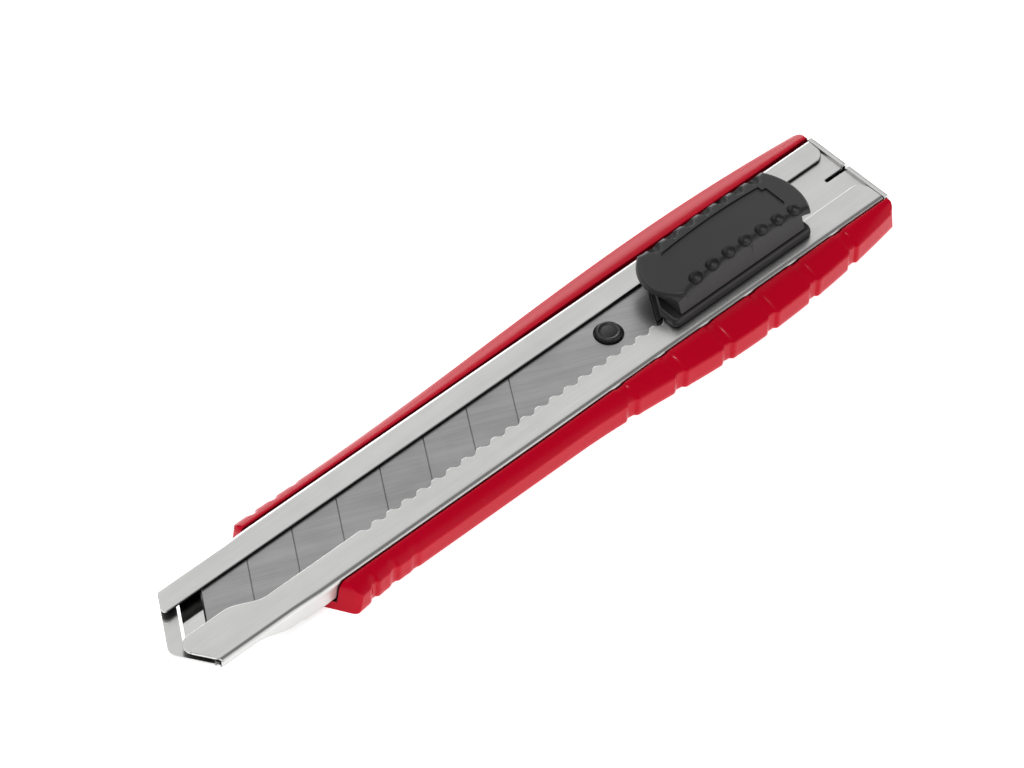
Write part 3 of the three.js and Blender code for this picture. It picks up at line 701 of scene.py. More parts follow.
    def tidy(self, angle: float = 0.4) -> "Form":
        """Merges doubled points and the faces that lie in one plane.

        Args:
            angle: Faces within this many degrees are merged.

        Returns:
            This shape.
        """
        def change(work: bmesh.types.BMesh) -> None:
            """Merges."""
            bmesh.ops.remove_doubles(work, verts=work.verts, dist=WELD)
            bmesh.ops.dissolve_limit(work, angle_limit=math.radians(angle), verts=work.verts,
                                     edges=work.edges)
            bmesh.ops.dissolve_degenerate(work, edges=work.edges, dist=0.001)

        return self.edit(change)

    def tidy_short(self, length: float) -> "Form":
        """Merges points that lie closer together than some length."""
        return self.edit(lambda work: bmesh.ops.remove_doubles(work, verts=work.verts, dist=length))

    def round_edges(self, radius: float, chosen: Callable[[bmesh.types.BMEdge], bool],
                    segments: int = 3, clamp: bool = True) -> "Form":
        """Rounds some edges.

        Args:
            radius: How far the rounding reaches from each edge.
            chosen: Says which edges are rounded.
            segments: Facets across each.
            clamp: Keeps the roundings from running into each other.

        Returns:
            This shape.
        """
        def change(work: bmesh.types.BMesh) -> None:
            """Rounds."""
            edges = [edge for edge in work.edges if len(edge.link_faces) == 2 and chosen(edge)]
            bmesh.ops.bevel(work, geom=edges, offset=radius, offset_type="OFFSET",
                            segments=segments, profile=0.5, affect="EDGES", clamp_overlap=clamp)

        return self.edit(change)

    def finish(self, name: str, body: str, slot: str, nodes: Sequence[str],
               material: bpy.types.Material, angle: float = 34.0) -> bpy.types.Object:
        """Turns the shape into a piece of the knife.

        Args:
            name: Its name.
            body: The body that it rides on.
            slot: Not used.
            nodes: The solids that it stands for.
            material: Its finish.
            angle: Edges sharper than this many degrees stay sharp in the shading.

        Returns:
            The piece.
        """
        shift = own_origin()
        piece = self.thing
        piece.name = name
        piece.data.name = name
        piece.data.transform(Matrix.Translation(shift) @ Matrix.Scale(MM, 4))
        return dress(seat(piece, body, nodes, angle), material)


def own_origin() -> Vector:
    """Returns the place of the knife's own zero: the blade's tip line and the flange tops."""
    low, high = (Vector(corner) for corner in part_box("blade"))
    return Vector((low.x + BLADE_LEAN * MM, 0.0, high.z + BLADE_DROP * MM))


def sharp(edge: bmesh.types.BMEdge, angle: float = 40.0) -> bool:
    """Tells whether an edge is convex and sharper than some degrees."""
    return edge.is_convex and edge.calc_face_angle(0.0) > math.radians(angle)


def sharp_above(level: float, angle: float = 60.0) -> Callable[[bmesh.types.BMEdge], bool]:
    """Returns a test for sharp edges that lie wholly above some height."""
    return lambda edge: sharp(edge, angle) and min(v.co.z for v in edge.verts) > level


def refine(node: str, name: str, edge: float, body: str, segments: int = 2,
           angle: float = 32.0) -> bpy.types.Object:
    """Makes a finer copy of a solid, with its sharp edges rounded.

    Args:
        node: The solid's name.
        name: The new piece's name.
        edge: Width of the rounded edges in millimetres.
        body: The body that it rides on.
        segments: Facets across each rounded edge.
        angle: Edges sharper than this many degrees are rounded.

    Returns:
        The new piece.
    """
    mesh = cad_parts[node].data.copy()
    mesh.name = name
    mesh.materials.clear()
    work = bmesh.new()
    work.from_mesh(mesh)
    bmesh.ops.remove_doubles(work, verts=work.verts, dist=WELD * MM)
    bmesh.ops.dissolve_limit(
        work, angle_limit=math.radians(0.6), verts=work.verts, edges=work.edges
    )
    work.to_mesh(mesh)
    work.free()
    for attribute in ("sharp_edge", "sharp_face", "custom_normal"):
        if attribute in mesh.attributes:
            mesh.attributes.remove(mesh.attributes[attribute])
    piece = add_object(name, mesh)
    bevel = piece.modifiers.new("edges", "BEVEL")
    bevel.width = edge * MM
    bevel.segments = segments
    bevel.limit_method = "ANGLE"
    bevel.angle_limit = math.radians(angle)
    bevel.use_clamp_overlap = True
    apply_modifiers(piece)
    return seat(piece, body, [node], angle)


def seat(piece: bpy.types.Object, body: str, nodes: Sequence[str],
         angle: float) -> bpy.types.Object:
    """Shades a piece and ties it to the frame.

    Args:
        piece: The piece.
        body: The body that it rides on.
        nodes: The solids that it stands for.
        angle: Edges sharper than this many degrees stay sharp in the shading.

    Returns:
        The piece.
    """
    smooth(piece, angle)
    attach(piece, body)
    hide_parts(*nodes)
    return piece


def add_object(name: str, data: Any) -> bpy.types.Object:
    """Returns a new object with that data, in the scene."""
    thing = bpy.data.objects.new(name, data)
    bpy.context.scene.collection.objects.link(thing)
    return thing


def apply_modifiers(piece: bpy.types.Object) -> None:
    """Replaces a piece's mesh with what its modifiers make of it."""
    graph = bpy.context.evaluated_depsgraph_get()
    graph.update()
    made = bpy.data.meshes.new_from_object(piece.evaluated_get(graph))
    piece.modifiers.clear()
    made.name = piece.name
    piece.data = made


def smooth(piece: bpy.types.Object, angle: float) -> None:
    """Shades a piece smooth, except over its sharp edges, with large faces kept flat.

    Args:
        piece: The piece.
        angle: Edges sharper than this many degrees stay sharp.
    """
    for face in piece.data.polygons:
        face.use_smooth = True
    piece.data.set_sharp_from_angle(angle=math.radians(angle))
    weight = piece.modifiers.new("flats", "WEIGHTED_NORMAL")
    weight.keep_sharp = True
    apply_modifiers(piece)


def dress(piece: bpy.types.Object, material: bpy.types.Material) -> bpy.types.Object:
    """Gives a piece one material.

    Args:
        piece: The piece.
        material: Its finish.

    Returns:
        The piece.
    """
    piece.data.materials.clear()
    piece.data.materials.append(material)
    return piece


# ---- Sub-assemblies -------------------------------------------------------------------------


@dataclass(frozen=True)
class Flank:
    """Half widths of one side of the handle."""

    slim: float
    belly: float
    tail: float
    start: float
    flare: float = 0.0


@dataclass
class Handle:
    """The red die-cast body: a trough with bevelled walls and finger grooves."""

    near: Flank = Flank(12.95, 15.5, 12.0, 74.0, 1.0)
    far: Flank = Flank(13.0, 15.13, 13.4, 34.0)
    depth: float = 6.6
    front: float = 13.6
    rear: float = 152.2
    front_drop: float = 0.45
    rear_drop: float = 0.05
    drop_run: Pair = (66.0, 98.0)
    rake: float = 1.1
    rear_lean: float = 0.7
    nose_start: float = 0.6
    nose_angle: float = 30.0
    corner: float = 3.0
    far_corner: float = 1.8
    far_back: float = 1.9
    rear_corner: float = 1.2
    top_round: float = 2.3
    top_round_start: float = -2.2
    rear_round: float = 0.35
    belly: float = 115.0
    flare_run: Pair = (18.0, 31.0)
    slim_shoulder: float = 2.4
    belly_shoulder: float = 2.0
    shoulder_run: Pair = (40.0, 115.0)
    trough: float = 10.1
    trough_floor: float = -4.75
    trough_fillet: float = 0.72
    rim: float = 0.3
    rim_round: float = 0.12
    bevel_power: float = 1.6
    undercut: float = 0.15
    foot: float = 0.45
    crease: float = 0.07
    groove_first: float = 84.35
    groove_pitch: float = 10.7
    grooves: int = 6
    groove_depth: float = 0.6
    groove_width: float = 2.85
    front_wall: float = 1.1
    rear_wall: float = 0.7
    hump: float = 0.05
    hump_width: float = 1.3
    rim_sweep: float = 0.4
    rim_cut: float = 0.6
    notch_first: Pair = (24.8, 19.8)
    notch_pitch: float = 4.75
    notches: int = 3
    notch_depth: float = 0.55
    notch_fade: float = 0.17
    notch_width: float = 2.3
    before: float = 5.0
    behind: float = 190.0
    rivet_hole: float = 1.65
    hole_top: float = -4.0

    def half(self, x: float, side: int) -> float:
        """Half the width at the shoulder, without grooves.

        Args:
            x: Place along the knife.
            side: -1 for the near side and 1 for the far one.

        Returns:
            The half width.
        """
        flank = self.near if side < 0 else self.far
        if x > self.belly:
            share = (x - self.belly) / (self.rear - self.belly)
            return flank.belly - (flank.belly - flank.tail) * share ** 2
        share = min(max((x - flank.start) / (self.belly - flank.start), 0.0), 1.0)
        flare = flank.flare * (1.0 - ease(*self.flare_run, x))
        swell = 0.5 - 0.5 * math.cos(math.pi * share)
        return flank.slim + (flank.belly - flank.slim) * swell + flare

    def dent(self, along: float, width: float) -> float:
        """A groove's depth behind its front edge, as a share: steep walls, sloping floor.

        Args:
            along: Distance behind the front edge.
            width: Its width.

        Returns:
            The depth, slightly negative on the swelling behind it.
        """
        walls = ease(0.0, self.front_wall, along) * (
            1.0 - ease(width - self.rear_wall, width, along))
        swell = min(max((along - width + 0.15) / self.hump_width, 0.0), 1.0)
        return walls * (1.0 - along / (4.0 * width)) - self.hump * math.sin(math.pi * swell) ** 2

    def groove(self, x: float, side: int, sweep: float) -> float:
        """How deep the near side's finger grooves are, where they sweep forward."""
        along = x + sweep - self.groove_first
        index = math.floor(along / self.groove_pitch)
        if side > 0 or not 0 <= index < self.grooves:
            return 0.0
        return self.groove_depth * self.dent(along - index * self.groove_pitch, self.groove_width)

    def notch(self, x: float, side: int) -> float:
        """How deep the shallow notches near the front end are."""
        along = x - self.notch_first[0 if side < 0 else 1]
        index = math.floor(along / self.notch_pitch)
        if not 0 <= index < self.notches:
            return 0.0
        depth = self.notch_depth - self.notch_fade * index
        return depth * self.dent(along - index * self.notch_pitch, self.notch_width)

    def wall(self, x: float, side: int) -> list[Pair]:
        """One wall of a section, from its inner top edge out and down to the bottom.

        Args:
            x: Place along the knife.
            side: -1 for the near side and 1 for the far one.

        Returns:
            Points in Y and Z.
        """
        half = self.half(x, side)
        top = self.rear_drop + (self.front_drop - self.rear_drop) * (1.0 - ease(*self.drop_run, x))
        shoulder = self.slim_shoulder + (self.belly_shoulder - self.slim_shoulder) * ease(
            *self.shoulder_run, x)
        rim = self.trough + self.rim
        notch = self.notch(x, side)

        def bevel(t: float) -> Vector:
            """A place on the sloping top, from the rim to the shoulder."""
            turn = (1.0 - t) ** 2
            cut = self.groove(x, side, self.rim_sweep * turn)
            return Vector((
                rim + (half - rim) * t - cut * t - notch * t ** 2,
                -top - (shoulder - top) * t ** self.bevel_power
                - self.rim_cut * max(cut, 0.0) * (1.0 - t),
            ))

        def flank(t: float) -> Vector:
            """A place on the side, from the shoulder to the foot."""
            out = half - self.undercut * t ** 1.4 - self.groove(x, side, 0.0) - notch
            return Vector((out, -shoulder - (self.depth - self.foot - shoulder) * t))

        first, last, corner = bevel(1.0 - self.crease), flank(self.crease), flank(0.0)
        turned = [first * (1.0 - t) ** 2 + corner * 2.0 * t * (1.0 - t) + last * t ** 2
                  for t in spread(0.0, 1.0, 6)]
        edge = bevel(0.0)
        points = [
            *arc(self.trough + self.rim_round, edge.y - self.rim_round, self.rim_round,
                 180.0, 90.0, 3),
            *[bevel(t) for t in spread(0.0, 0.85, 9)],
            *turned,
            *[flank(t) for t in spread(0.2, 1.0, 5)],
            (flank(1.0).x - self.foot * 0.3, self.foot * 0.3 - self.depth),
            (flank(1.0).x - self.foot, -self.depth),
        ]
        return [(side * y, z) for y, z in points]

    def section(self, x: float) -> list[Pair]:
        """A whole section: both walls, the bottom and the trough."""
        fillet = self.trough_fillet
        low = self.trough_floor + fillet
        floor = [
            *arc(self.trough - fillet, low, fillet, 0.0, -90.0, 4),
            *arc(fillet - self.trough, low, fillet, 270.0, 180.0, 4),
        ]
        return [*self.wall(x, -1), *reversed(self.wall(x, 1)), *floor]

    def front_plan(self) -> list[Pair]:
        """The plan of the front end at the bottom, open to the rear."""
        slope = math.tan(math.radians(self.nose_angle))
        side = self.near.slim + self.near.flare
        turn = self.corner * math.tan(math.radians((90.0 - self.nose_angle) / 2.0))
        near = self.front + (self.nose_start + side) * slope + turn
        far = self.front + self.far_back + self.far_corner
        return [
            (self.front, self.nose_start),
            *arc(near, self.corner - side, self.corner, 180.0 + self.nose_angle, 270.0, 16),
            (near + 3.0, -OUTSIDE), (self.behind, -OUTSIDE), (self.behind, OUTSIDE), (far, OUTSIDE),
            *arc(far, self.far.slim - self.far_corner, self.far_corner, 90.0, 180.0, 16),
            (self.front, self.trough * 0.6),
        ]

    def front_form(self) -> Form:
        """The space behind the leaning front face and its rounded top edge."""
        plan = self.front_plan()
        levels = [(-self.depth - PAST, 0.0), (self.top_round_start, 0.0)]
        for angle in spread(8.0, 80.0, 10):
            turn = math.radians(angle)
            levels.append((self.top_round_start + self.top_round * math.sin(turn),
                           self.top_round * (1.0 - math.cos(turn))))
        levels.append((1.5, levels[-1][1] + 6.0))
        return Form.loft([
            [(x + back + self.rake * (z + self.depth) / self.depth, y, z) for x, y in plan]
            for z, back in levels
        ])

    def rear_form(self) -> Form:
        """The space in front of the leaning rear face."""
        corner, radius = self.rear - self.rear_corner, self.rear_corner
        plan = [
            (self.before, -OUTSIDE), (corner - radius, -OUTSIDE),
            *arc(corner, radius - self.near.tail, radius, -90.0, 0.0, 8),
            *arc(corner, self.far.tail - radius, radius, 0.0, 90.0, 8),
            (corner - radius, OUTSIDE), (self.before, OUTSIDE),
        ]
        lean = self.rear_lean / self.depth
        levels = [(-self.depth - PAST, 0.0), (-self.rear_drop - self.rear_round, 0.0)]
        for angle in (25.0, 50.0, 75.0):
            turn = math.radians(angle)
            levels.append((-self.rear_drop - self.rear_round * (1.0 - math.sin(turn)),
                           self.rear_round * (1.0 - math.cos(turn))))
        levels.append((1.0, levels[-1][1] + 3.0))
        return Form.loft([
            [(x - (back + lean * (z + self.depth)) * (x > self.before), y, z) for x, y in plan]
            for z, back in levels
        ])

    def stations(self) -> list[float]:
        """Places of the sections: close together where the grooves are."""
        last = self.groove_first + self.grooves * self.groove_pitch
        return [
            *spread(self.front - 1.0, 40.0, 92),
            *spread(41.0, self.groove_first - 1.0, 30),
            *spread(self.groove_first - 0.8, last, 300),
            *spread(last + 0.6, self.rear + 1.0, 8),
        ]

    def build(self, paint: bpy.types.Material) -> list[bpy.types.Object]:
        """Builds the handle.

        Args:
            paint: Its finish.

        Returns:
            Its pieces.
        """
        form = Form.loft([[(x, y, z) for y, z in self.section(x)] for x in self.stations()])
        form.keep(self.front_form()).keep(self.rear_form())
        for x in RIVETS:
            form.cut(Form.rod((x, 0.0), self.rivet_hole, -self.depth - PAST, self.hole_top))
        return [form.finish("handle", "frame", "red_paint", ["handle_body"], paint)]


@dataclass
class Channel:
    """The folded steel channel: two flanges, a formed nose with a lanced tongue, and rivets."""

    sheet: float = 0.5
    half: float = 9.85
    depth: float = 4.5
    rear: float = 151.0
    top_bend: float = 1.0
    floor_bend: float = 0.72
    near_edge: float = -4.0
    far_edge: float = 4.7
    nose_edge: float = -1.45
    nose_depth: float = 2.15
    nose_angle: float = 32.4
    nose_lead: float = 9.5
    nose_apex: float = -1.35
    nose_round: float = 2.2
    pinch: float = 0.22
    pinch_run: float = 7.0
    swage: Pair = (3.0, 11.0)
    swell: Pair = (2.4, 10.0)
    near_tip: float = 2.2
    far_tip: float = 0.8
    corner: float = 2.4
    scallop_first: float = 32.1
    scallop_pitch: float = 3.43
    scallops: int = 25
    scallop_depth: float = 0.85
    scallop_width: float = 2.9
    bridge: float = 3.2
    lance_gap: float = 0.75
    lance_run: float = 4.0
    lance_margin: float = 2.4
    lance_cover: float = 1.2
    tongue_rise: float = 0.95
    tongue_length: float = 8.6
    tongue_ramp: float = 3.4
    tongue_lap: float = 16.0
    fit: float = 0.15
    rim_round: float = 0.17

    @property
    def slope(self) -> float:
        """How far the nose's edges run back for each millimetre outwards."""
        return math.tan(math.radians(self.nose_angle))

    def section(self, x: float) -> list[Pair]:
        """A closed section with the flanges still meeting near the middle."""
        pinch_end = self.swage[1] + self.pinch_run
        half = self.half - self.pinch * (1.0 - ease(self.swage[1], pinch_end, x))
        deep = self.nose_depth + (self.depth - self.nose_depth) * ease(*self.swage, x)
        top, low, thick = self.top_bend, self.floor_bend, self.sheet
        outer = [
            (0.2, 0.0), *arc(half - top, -top, top, 90.0, 0.0, 12),
            *arc(half - low, low - deep, low, 0.0, -90.0, 6),
        ]
        inner = [
            *arc(half - low, low - deep, low - thick, -90.0, 0.0, 6),
            *arc(half - top, -top, top - thick, 0.0, 90.0, 12), (0.2, -thick),
        ]
        return [*outer, *[(-y, z) for y, z in reversed(outer)],
                *[(-y, z) for y, z in reversed(inner)], *inner]

    def nose_front(self, y: float) -> float:
        """Returns where the sloping front of the nose lies beside its point."""
        return abs(y - self.nose_apex) * self.slope - self.nose_lead

    def nose_plan(self) -> list[Pair]:
        """The knife's front in plan: two sloping edges with a rounded point between them."""
        reach = self.half + 1.0
        centre = self.nose_round / math.cos(math.radians(self.nose_angle)) - self.nose_lead
        return [
            (self.nose_front(-reach), -reach), (self.rear, -reach), (self.rear, reach),
            (self.nose_front(reach), reach),
            *arc(centre, self.nose_apex, self.nose_round, 180.0 - self.nose_angle,
                 180.0 + self.nose_angle, 14),
        ]

    def near_rim(self, x: float) -> float:
        """Returns the inner edge of the near flange, with its scallops."""
        swell = (self.nose_edge - self.near_edge) * (1.0 - ease(*self.swell, x))
        index = round((x - self.scallop_first) / self.scallop_pitch)
        away = abs(x - self.scallop_first - index * self.scallop_pitch) / (self.scallop_width / 2.0)
        if not 0 <= index < self.scallops or away >= 1.0:
            return self.near_edge + swell
        return self.near_edge + swell - self.scallop_depth * (0.5 + 0.5 * math.cos(math.pi * away))

    def window_plan(self) -> list[Pair]:
        """The opening between the flanges."""
        run = math.tan(math.radians((90.0 - self.nose_angle) / 2.0))
        near = self.nose_front(self.nose_edge) + self.near_tip / run
        far = self.nose_front(self.far_edge) + self.far_tip / run
        front, rear, radius = -self.nose_lead - 2.0, self.rear, self.corner
        wide = self.scallop_width / 2.0
        first = self.scallop_first - wide
        last = self.scallop_first + (self.scallops - 1) * self.scallop_pitch + wide
        near_arc = arc(near, self.nose_edge - self.near_tip, self.near_tip,
                       180.0 + self.nose_angle, 90.0, 12)
        far_arc = arc(far, self.far_edge + self.far_tip, self.far_tip,
                      270.0, 180.0 - self.nose_angle, 8)
        places = [*spread(*self.swell, 16), *spread(first, last, self.scallops * 16 + 1)]
        return [
            (front, near_arc[0][1]), *near_arc, *[(x, self.near_rim(x)) for x in places],
            *arc(rear - radius, self.near_edge - radius, radius, 90.0, 0.0, 10),
            (rear + 1.0, self.near_edge - radius), (rear + 1.0, self.far_edge + radius),
            *arc(rear - radius, self.far_edge + radius, radius, 0.0, -90.0, 10),
            *far_arc, (front, far_arc[-1][1]),
        ]

    def lance(self, near: float, far: float, join: float) -> Form:
        """The cut that frees the floor behind the nose's bridge."""
        before = self.bridge - self.nose_lead - self.nose_apex * self.slope
        after = join + 18.0
        band = Form.prism([
            (before + self.slope * near, near), (after + self.slope * near, near),
            (after + self.slope * far, far), (before + self.slope * far, far),
        ], -self.depth - PAST, -self.sheet - 0.2)
        return band.keep(Form.block((-self.nose_lead, join), (near, far),
                                    (-self.depth - PAST, 0.0)))

    def tongue(self, near: float, far: float) -> Form:
        """The middle of the floor, which runs forward and ends in a raised lip."""
        tip = self.bridge - self.nose_lead - self.nose_apex * self.slope + self.lance_gap
        bend, rear = tip + self.tongue_length, self.swage[1] + self.lance_run + self.tongue_lap
        rise = [(bend - self.tongue_ramp * t, self.tongue_rise * ease(0.0, 1.0, t))
                for t in spread(0.0, 1.0, 13)]
        rise += [(tip, self.tongue_rise)]
        low, high = -self.depth, self.sheet - self.depth
        profile = [(rear, low), (rear, high), *[(x, high + up) for x, up in rise],
                   *[(x, low + up) for x, up in reversed(rise)]]
        return Form.across(profile, near, far, self.slope)

    def build(self, sheet: bpy.types.Material, rivet: bpy.types.Material) -> list[bpy.types.Object]:
        """Builds the channel.

        Args:
            sheet: Finish of the channel.
            rivet: Finish of the rivets.

        Returns:
            Its pieces.
        """
        places = [-self.nose_lead - 2.0, *spread(*self.swage, 17),
                  *spread(self.swage[1], self.swage[1] + self.pinch_run, 10)[1:], self.rear]
        near = self.nose_edge - self.lance_cover
        far = self.half - self.pinch - self.lance_margin
        form = Form.loft([[(x, y, z) for y, z in self.section(x)] for x in places])
        form.keep(Form.prism(self.nose_plan(), -self.depth - PAST, 1.0))
        form.cut(Form.prism(self.window_plan(), -self.sheet - 0.2, 1.0))
        form.cut(self.lance(near, far, self.swage[1] + self.lance_run))
        form.add(self.tongue(near + self.fit, far - self.fit))
        for x in RIVETS:
            form.cut(Rivet().form(x, self.fit))
        form.tidy()
        form.round_edges(self.rim_round, sharp_above(-WELD), 3, False)
        pieces = [form.finish("channel", "frame", "stainless", ["blade_channel"], sheet)]
        for x, node in zip(RIVETS, ("front_rivet", "rear_rivet")):
            pieces.append(Rivet().form(x).finish(node + "_turned", "frame", "rivet_steel",
                                                 [node], rivet))
        return pieces


@dataclass
class Rivet:
    """A countersunk rivet through the channel's and the handle's floors."""

    shank: float = 3.0
    head: float = 5.4
    head_level: float = -4.05
    foot_level: float = -6.55
    cone: float = 0.45
    clear: float = -3.0
    rim: Pair = (0.12, 0.08)

    def form(self, x: float, gap: float = 0.0) -> Form:
        """The rivet, or its hole.

        Args:
            x: Its place along the knife.
            gap: Clearance of the hole, or 0 for the rivet.

        Returns:
            The shape.
        """
        shank, head = self.shank / 2.0 + gap, self.head / 2.0 + gap
        under = self.foot_level - (PAST if gap else 0.0)
        over = ([(head, self.clear), (0.0, self.clear)] if gap else
                [(head - self.rim[0], self.head_level), (0.0, self.head_level)])
        top = self.head_level if gap else self.head_level - self.rim[1]
        return Form.turned([(0.0, under), (shank, under), (shank, self.head_level - self.cone),
                            (head, top), *over], x, 0.0, 40)


@dataclass
class Blade:
    """The snap-off blade, with its ground edge and score lines."""

    width: float = 18.0
    thick: float = 0.5
    angle: float = 57.5
    pitch: float = 10.0
    segments: int = 8
    tail: float = 33.0
    bevel: float = 1.6
    land: float = 0.06
    score_width: float = 0.26
    score_depth: float = 0.1
    tail_to_pin: float = 10.1
    hole: float = 2.75
    side_shift: float = 0.35
    edge_round: float = 0.05

    @property
    def length(self) -> float:
        """Length along the back."""
        return (self.segments - 1) * self.pitch + self.tail

    def slant(self, y: float) -> float:
        """Returns how far a slanted line has moved along the blade at some place across it."""
        return y / math.tan(math.radians(self.angle))

    def slanted(self, section: Sequence[Pair], x: float) -> Form:
        """Returns a groove tool with a section in X and Z, laid along the slant."""
        reach = self.width / 2.0 + 1.0
        return Form.loft([[(x + along + self.slant(y), y, z) for along, z in section]
                          for y in (-reach, reach)])

    def build(self, steel: bpy.types.Material) -> list[bpy.types.Object]:
        """Builds the blade.

        Args:
            steel: Its finish.

        Returns:
            Its pieces.
        """
        top = -BLADE_DROP
        under, middle, half = top - self.thick, top - self.thick / 2.0, self.width / 2.0
        section = [
            (-half, middle - self.land / 2.0), (self.bevel - half, under), (half, under),
            (half, top), (self.bevel - half, top), (-half, middle + self.land / 2.0),
        ]
        form = Form.bar(section, -20.0, self.length + 20.0)
        form.keep(self.slanted([(0.0, under - 1.0), (self.length, under - 1.0),
                                (self.length, top + 1.0), (0.0, top + 1.0)], 0.0))
        wide = self.score_width / 2.0
        for k in range(1, self.segments):
            form.cut(self.slanted([(-wide, top + 0.001), (0.0, top - self.score_depth),
                                   (wide, top + 0.001), (wide, top + 0.5), (-wide, top + 0.5)],
                                  k * self.pitch))
        form.cut(Form.rod((self.length - self.tail_to_pin, self.side_shift), self.hole,
                          under - PAST, top + PAST))
        form.tidy()
        form.round_edges(self.edge_round, sharp_above(top - 0.01), 2)
        return [form.finish("snap_blade", "slider", "blade_steel", ["blade"], steel, 20.0)]


@dataclass
class Slider:
    """What carries the blade and works the lock: carrier, base, button and leaf spring."""

    pin_place: Pair = (92.9, 0.35)
    front: float = 101.6
    rear: float = 135.4
    middle: float = 0.35
    base_half: float = 7.9
    base_corner: float = 1.1
    base_under: float = 0.15
    base_step: float = 1.11
    base_top: float = 1.9
    base_ledge: float = 0.3
    toe: float = 3.6
    lean: float = 0.63707
    half: float = 7.05
    top_half: float = 5.5
    offset: float = 0.15
    height: float = 6.79
    crown: float = 86.0
    under: float = 2.15
    edge: float = 1.0
    roof: float = 1.2
    lip: float = 1.6
    front_radius: float = 7.4
    rear_radius: float = 10.0
    scoop_radius: float = 1.45
    scoop_pitch: float = 4.04
    scoops: int = 7
    scoop_shift: float = 0.6
    scoop_sinks: Pair = (-0.4, 0.1)
    scoop_near: Pair = (0.4, 0.5)
    scoop_far: Pair = (0.15, 0.0)
    inset: float = 0.03
    sink: float = 0.2
    body_corner: float = 1.6
    body_drop: float = 0.6
    lid_bulge: Pair = (0.95, 0.8)
    lid_inset: float = 0.12
    scoop_rim: float = 0.09
    scoop_level: float = 4.4
    shortest: Pair = (0.02, 0.04)
    over: float = 9.0
    hollow_gap: float = 1.45
    hollow_half: float = 4.4
    core_half: float = 4.15
    core_corner: float = 1.2
    core_top: float = 4.0
    socket_top: float = 1.4
    fit: float = 0.15
    spring_room: tuple[Pair, Pair, Pair] = ((0.5, 0.5), (0.65, 0.35), (0.25, 0.25))
    arc_spots: int = 25
    side_spots: int = 30
    panel: Pair = (25.2, 6.2)
    panel_shift: float = 0.25
    panel_recess: float = 0.3
    panel_step: float = 1.0
    panel_corner: float = 0.8
    neck: Pair = (-3.6, 4.3)
    neck_front: float = 105.193
    neck_rear: float = 132.4
    carrier_front: float = 88.3
    carrier_rear: float = 133.4
    carrier_half: float = 9.0
    carrier_under: float = -3.75
    carrier_top: float = -1.35
    carrier_corner: float = 2.0
    step_front: float = 103.15
    step_tops: Pair = (-0.7, -0.3)
    neck_height: Pair = (-0.5, 1.25)
    pin_radius: float = 2.45
    pin_top: float = 0.05
    core: Pair = (110.6, 132.4)

    @property
    def button_ends(self) -> Pair:
        """Front and rear of the button's top."""
        return self.front + 0.3, self.rear + 2.7

    def crown_at(self, x: float) -> float:
        """Returns the height of the button's arched top."""
        centre = sum(self.button_ends) / 2.0
        return self.height - (x - centre) ** 2 / (2.0 * self.crown)

    def behind(self, x: float, y: float) -> Form:
        """Returns the space behind a line slanted as the blade's ends are."""
        start = x - self.lean * y
        return Form.across([(start, -5.0), (start + 150.0, -5.0), (start + 150.0, 9.0),
                            (start, 9.0)], -12.0, 12.0, self.lean)

    def side_at(self, z: float, inset: float = 0.0) -> float:
        """Returns half the button's width at some height."""
        slope = (self.half - self.top_half) / (self.height - self.under)
        return self.half - slope * (z - self.under) - inset

    def lid_loop(self, drop: float, inset: float, share: float = 1.0) -> list[Triple]:
        """One loop round the button's lid.

        Args:
            drop: How far it lies below the crown.
            inset: How far it lies inside the lid's outline.
            share: Shrinks it towards the lid's middle line.

        Returns:
            The loop's points.
        """
        ends = self.button_ends
        front, rear = ends[0] + inset, ends[1] - inset
        radii = (self.front_radius - inset, self.rear_radius - inset)
        spots: list[Pair] = []
        for x0, radius, way in ((front, radii[0], -1.0), (rear, radii[1], 1.0)):
            centre = x0 - way * radius
            half = self.side_at(self.crown_at(x0) - drop, inset)
            sweep = math.degrees(math.asin(min(1.0, half / radius)))
            for angle in spread(-sweep, sweep, self.arc_spots):
                turn = math.radians(angle)
                spots.append((centre + way * radius * math.cos(turn),
                              way * radius * math.sin(turn)))
            corner = centre + way * radius * math.cos(math.radians(sweep))
            chords = [math.sqrt(max(r ** 2 - half ** 2, 0.0)) for r in radii]
            other = rear - radii[1] + chords[1] if way < 0 else front + radii[0] - chords[0]
            for x in spread(corner, other, self.side_spots)[1:-1]:
                spots.append((x, way * self.side_at(self.crown_at(x) - drop, inset)))
        points: list[Triple] = []
        for x, y in spots:
            core = min(max(x, ends[0] + 6.0), ends[1] - 6.0)
            x, y = core + (x - core) * share, y * share
            points.append((x, self.offset + y, self.crown_at(x) - drop))
        return points

    def lid(self) -> Form:
        """The button's top with its rounded edges."""
        loops = [self.lid_loop(self.roof, 0.0, share) for share in (0.02, 0.3, 0.6, 0.85)]
        down, inward = self.lid_bulge
        loops += [self.lid_loop(self.roof, self.lid_inset),
                  self.lid_loop(self.roof - self.lid_inset, 0.0),
                  self.lid_loop(self.edge * down, 0.0)]
        for angle in spread(12.0, 90.0, 8):
            turn = math.radians(angle)
            loops.append(self.lid_loop(self.edge * (1.0 - math.sin(turn)) * down,
                                       self.edge * (1.0 - math.cos(turn)) * inward))
        inner = self.edge * inward
        loops += [self.lid_loop(0.0, inner, share) for share in (0.9, 0.7, 0.45, 0.2, 0.02)]
        return Form.loft(loops, self.arc_spots - 1)

    def crowned(self, drop: float) -> Form:
        """The space inside the button's sloping sides, some way below its top."""
        rings = []
        for x in spread(self.button_ends[0] - 1.0, self.button_ends[1] + 1.0, 40):
            top = self.crown_at(x) - drop
            rings.append([(x, self.offset + y, z) for y, z in (
                (self.half - self.inset, self.under), (self.side_at(top, self.inset), top),
                (-self.side_at(top, self.inset), top), (self.inset - self.half, self.under))])
        return Form.loft(rings)

